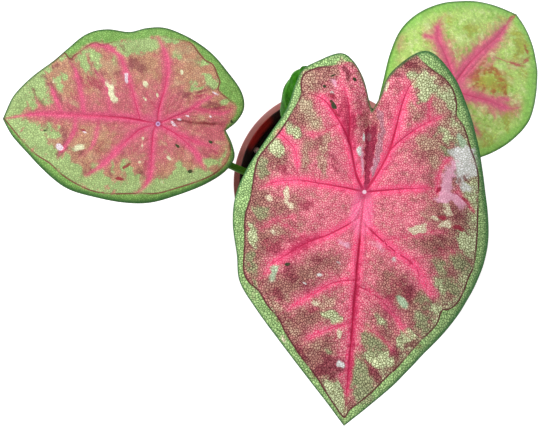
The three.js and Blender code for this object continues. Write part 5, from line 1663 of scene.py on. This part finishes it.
def makeMix():
    inside = innerRadius(mix["top"]) - mix["gap"]
    rings, sides, wallSteps = mix["rings"], mix["sides"], mix["wallSteps"]
    bed = addGrid("pottingMix", rings, sides)
    i, j = gridShape(bed, rings, sides)
    # two rings under the floor, some up the wall, the rest over the top to the middle
    low, floor = innerRadius(mix["floor"]) - mix["gap"], mix["floor"]
    onTop = rings - wallSteps - 1
    wallRadius, wallLevel = np.linspace((low, floor), (inside, mix["top"]), wallSteps).T
    radius = np.concatenate([[0, low], wallRadius, inside * np.linspace(1, 0, onTop) ** 0.9])
    level = np.concatenate([[floor, floor], wallLevel, np.full(onTop, np.nan)])
    angle = math.tau * j / sides
    x, y = radius[i] * np.cos(angle), radius[i] * np.sin(angle)
    plan = np.stack([x, y], 1)
    rough = 0.5 * ripples(plan, 3.2, 5) + 0.3 * ripples(plan, 1.5, 6) + 0.6 * ripples(plan, 7, 7)
    top = mixHeight(x, y, inside) + rough * np.clip((inside - np.hypot(x, y)) / 2, 0.15, 1)
    z = np.where(np.isnan(level[i]), top, np.nan_to_num(level[i]))
    placePoints(bed, mm * np.stack([x, y, z], 1))
    mergeAndRecalc(bed)
    bed.data.materials.append(mixMaterial("mixBed", mix["dark"], mix["brown"], mix["scale"]))
    finishPiece(bed, ["soil"])


def makeGrain(name, seed, stretch, subdivisions):
    # one rough lump of 1 mm radius at the middle of the frame
    deselectAll()
    bpy.ops.mesh.primitive_ico_sphere_add(subdivisions=subdivisions, radius=mm)
    grain = bpy.context.object
    grain.name = name
    points = pointsOf(grain)
    bulge = 1 + 0.3 * ripples(points / mm, 3.0, seed)
    placePoints(grain, points * bulge[:, None] * np.array(stretch))
    return grain


def scatter(name, kind, lumps):
    # copies of the lumps strewn over the bed, each with its own mesh, joined to one piece
    draw = np.random.default_rng(kind["seed"])
    inside = innerRadius(mix["top"]) - mix["gap"]
    spots = []
    while len(spots) < kind["count"]:
        distance, angle = inside * math.sqrt(draw.random()), draw.uniform(0, math.tau)
        if distance < inside - wallClear:
            scale = draw.uniform(*kind["sizes"])
            spots.append((distance * math.cos(angle), distance * math.sin(angle), scale))
    copies = []
    for k, (x, y, scale) in enumerate(spots + kind["more"]):
        copy = lumps[k % len(lumps)].copy()
        copy.data = copy.data.copy()
        bpy.context.scene.collection.objects.link(copy)
        z = float(mixHeight(x, y, inside)) + kind["sink"] * scale
        copy.location = (x * mm, y * mm, z * mm)
        copy.rotation_euler = draw.uniform(0, math.tau, 3)
        copy.scale = [scale] * 3
        copies.append(copy)
    piece = joinAll(copies)
    bpy.ops.object.transform_apply(location=True, rotation=True, scale=True)
    piece.name = piece.data.name = name
    for lump in lumps:
        bpy.data.objects.remove(lump)
    return piece


def makeGrains():
    for number, (name, kind) in enumerate(grains.items()):
        lumps = [
            makeGrain(f"{kind['shape']}{k}", 10 * number + k, kind["stretch"], kind["subdivisions"])
            for k in range(kind["shapes"])]
        piece = scatter(name, kind, lumps)
        piece.data.materials.clear()
        piece.data.materials.append(mixMaterial(kind["shape"], *kind["colours"], kind["scale"]))
        finishPiece(piece, [])


tuberLook = {
    "skin": "#5a3b24", "ring": "#7c5a3c", "fibre": "#3a2415", "ringScale": 90, "fibreScale": 700,
}


def tuberMaterial():
    material, tree = newMaterial("tuberSkin")
    place = placeOn(tree)
    rings = noiseOf(tree, stretched(tree, place, (1, 1, 6)), tuberLook["ringScale"], 4, 0.6)
    fibre = noiseOf(tree, place, tuberLook["fibreScale"], 4, 0.7)
    skin, ring, thread = (colour(tuberLook[key]) for key in ("skin", "ring", "fibre"))
    base = blend(tree, ramp(tree, rings, 0.4, 0.62), skin, ring)
    base = blend(tree, ramp(tree, fibre, 0.55, 0.7, 0, 0.6), base, thread)
    finishMaterial(tree, {
        "Base Color": base, "Roughness": ramp(tree, fibre, 0.3, 0.7, 0.7, 0.9),
        "Normal": bumpOf(tree, plus(tree, rings, fibre), 0.0008)})
    return material


makeMix()
makeGrains()
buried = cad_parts["tuber"]
buried.data.materials.clear()
buried.data.materials.append(tuberMaterial())
print("potting mix ready")
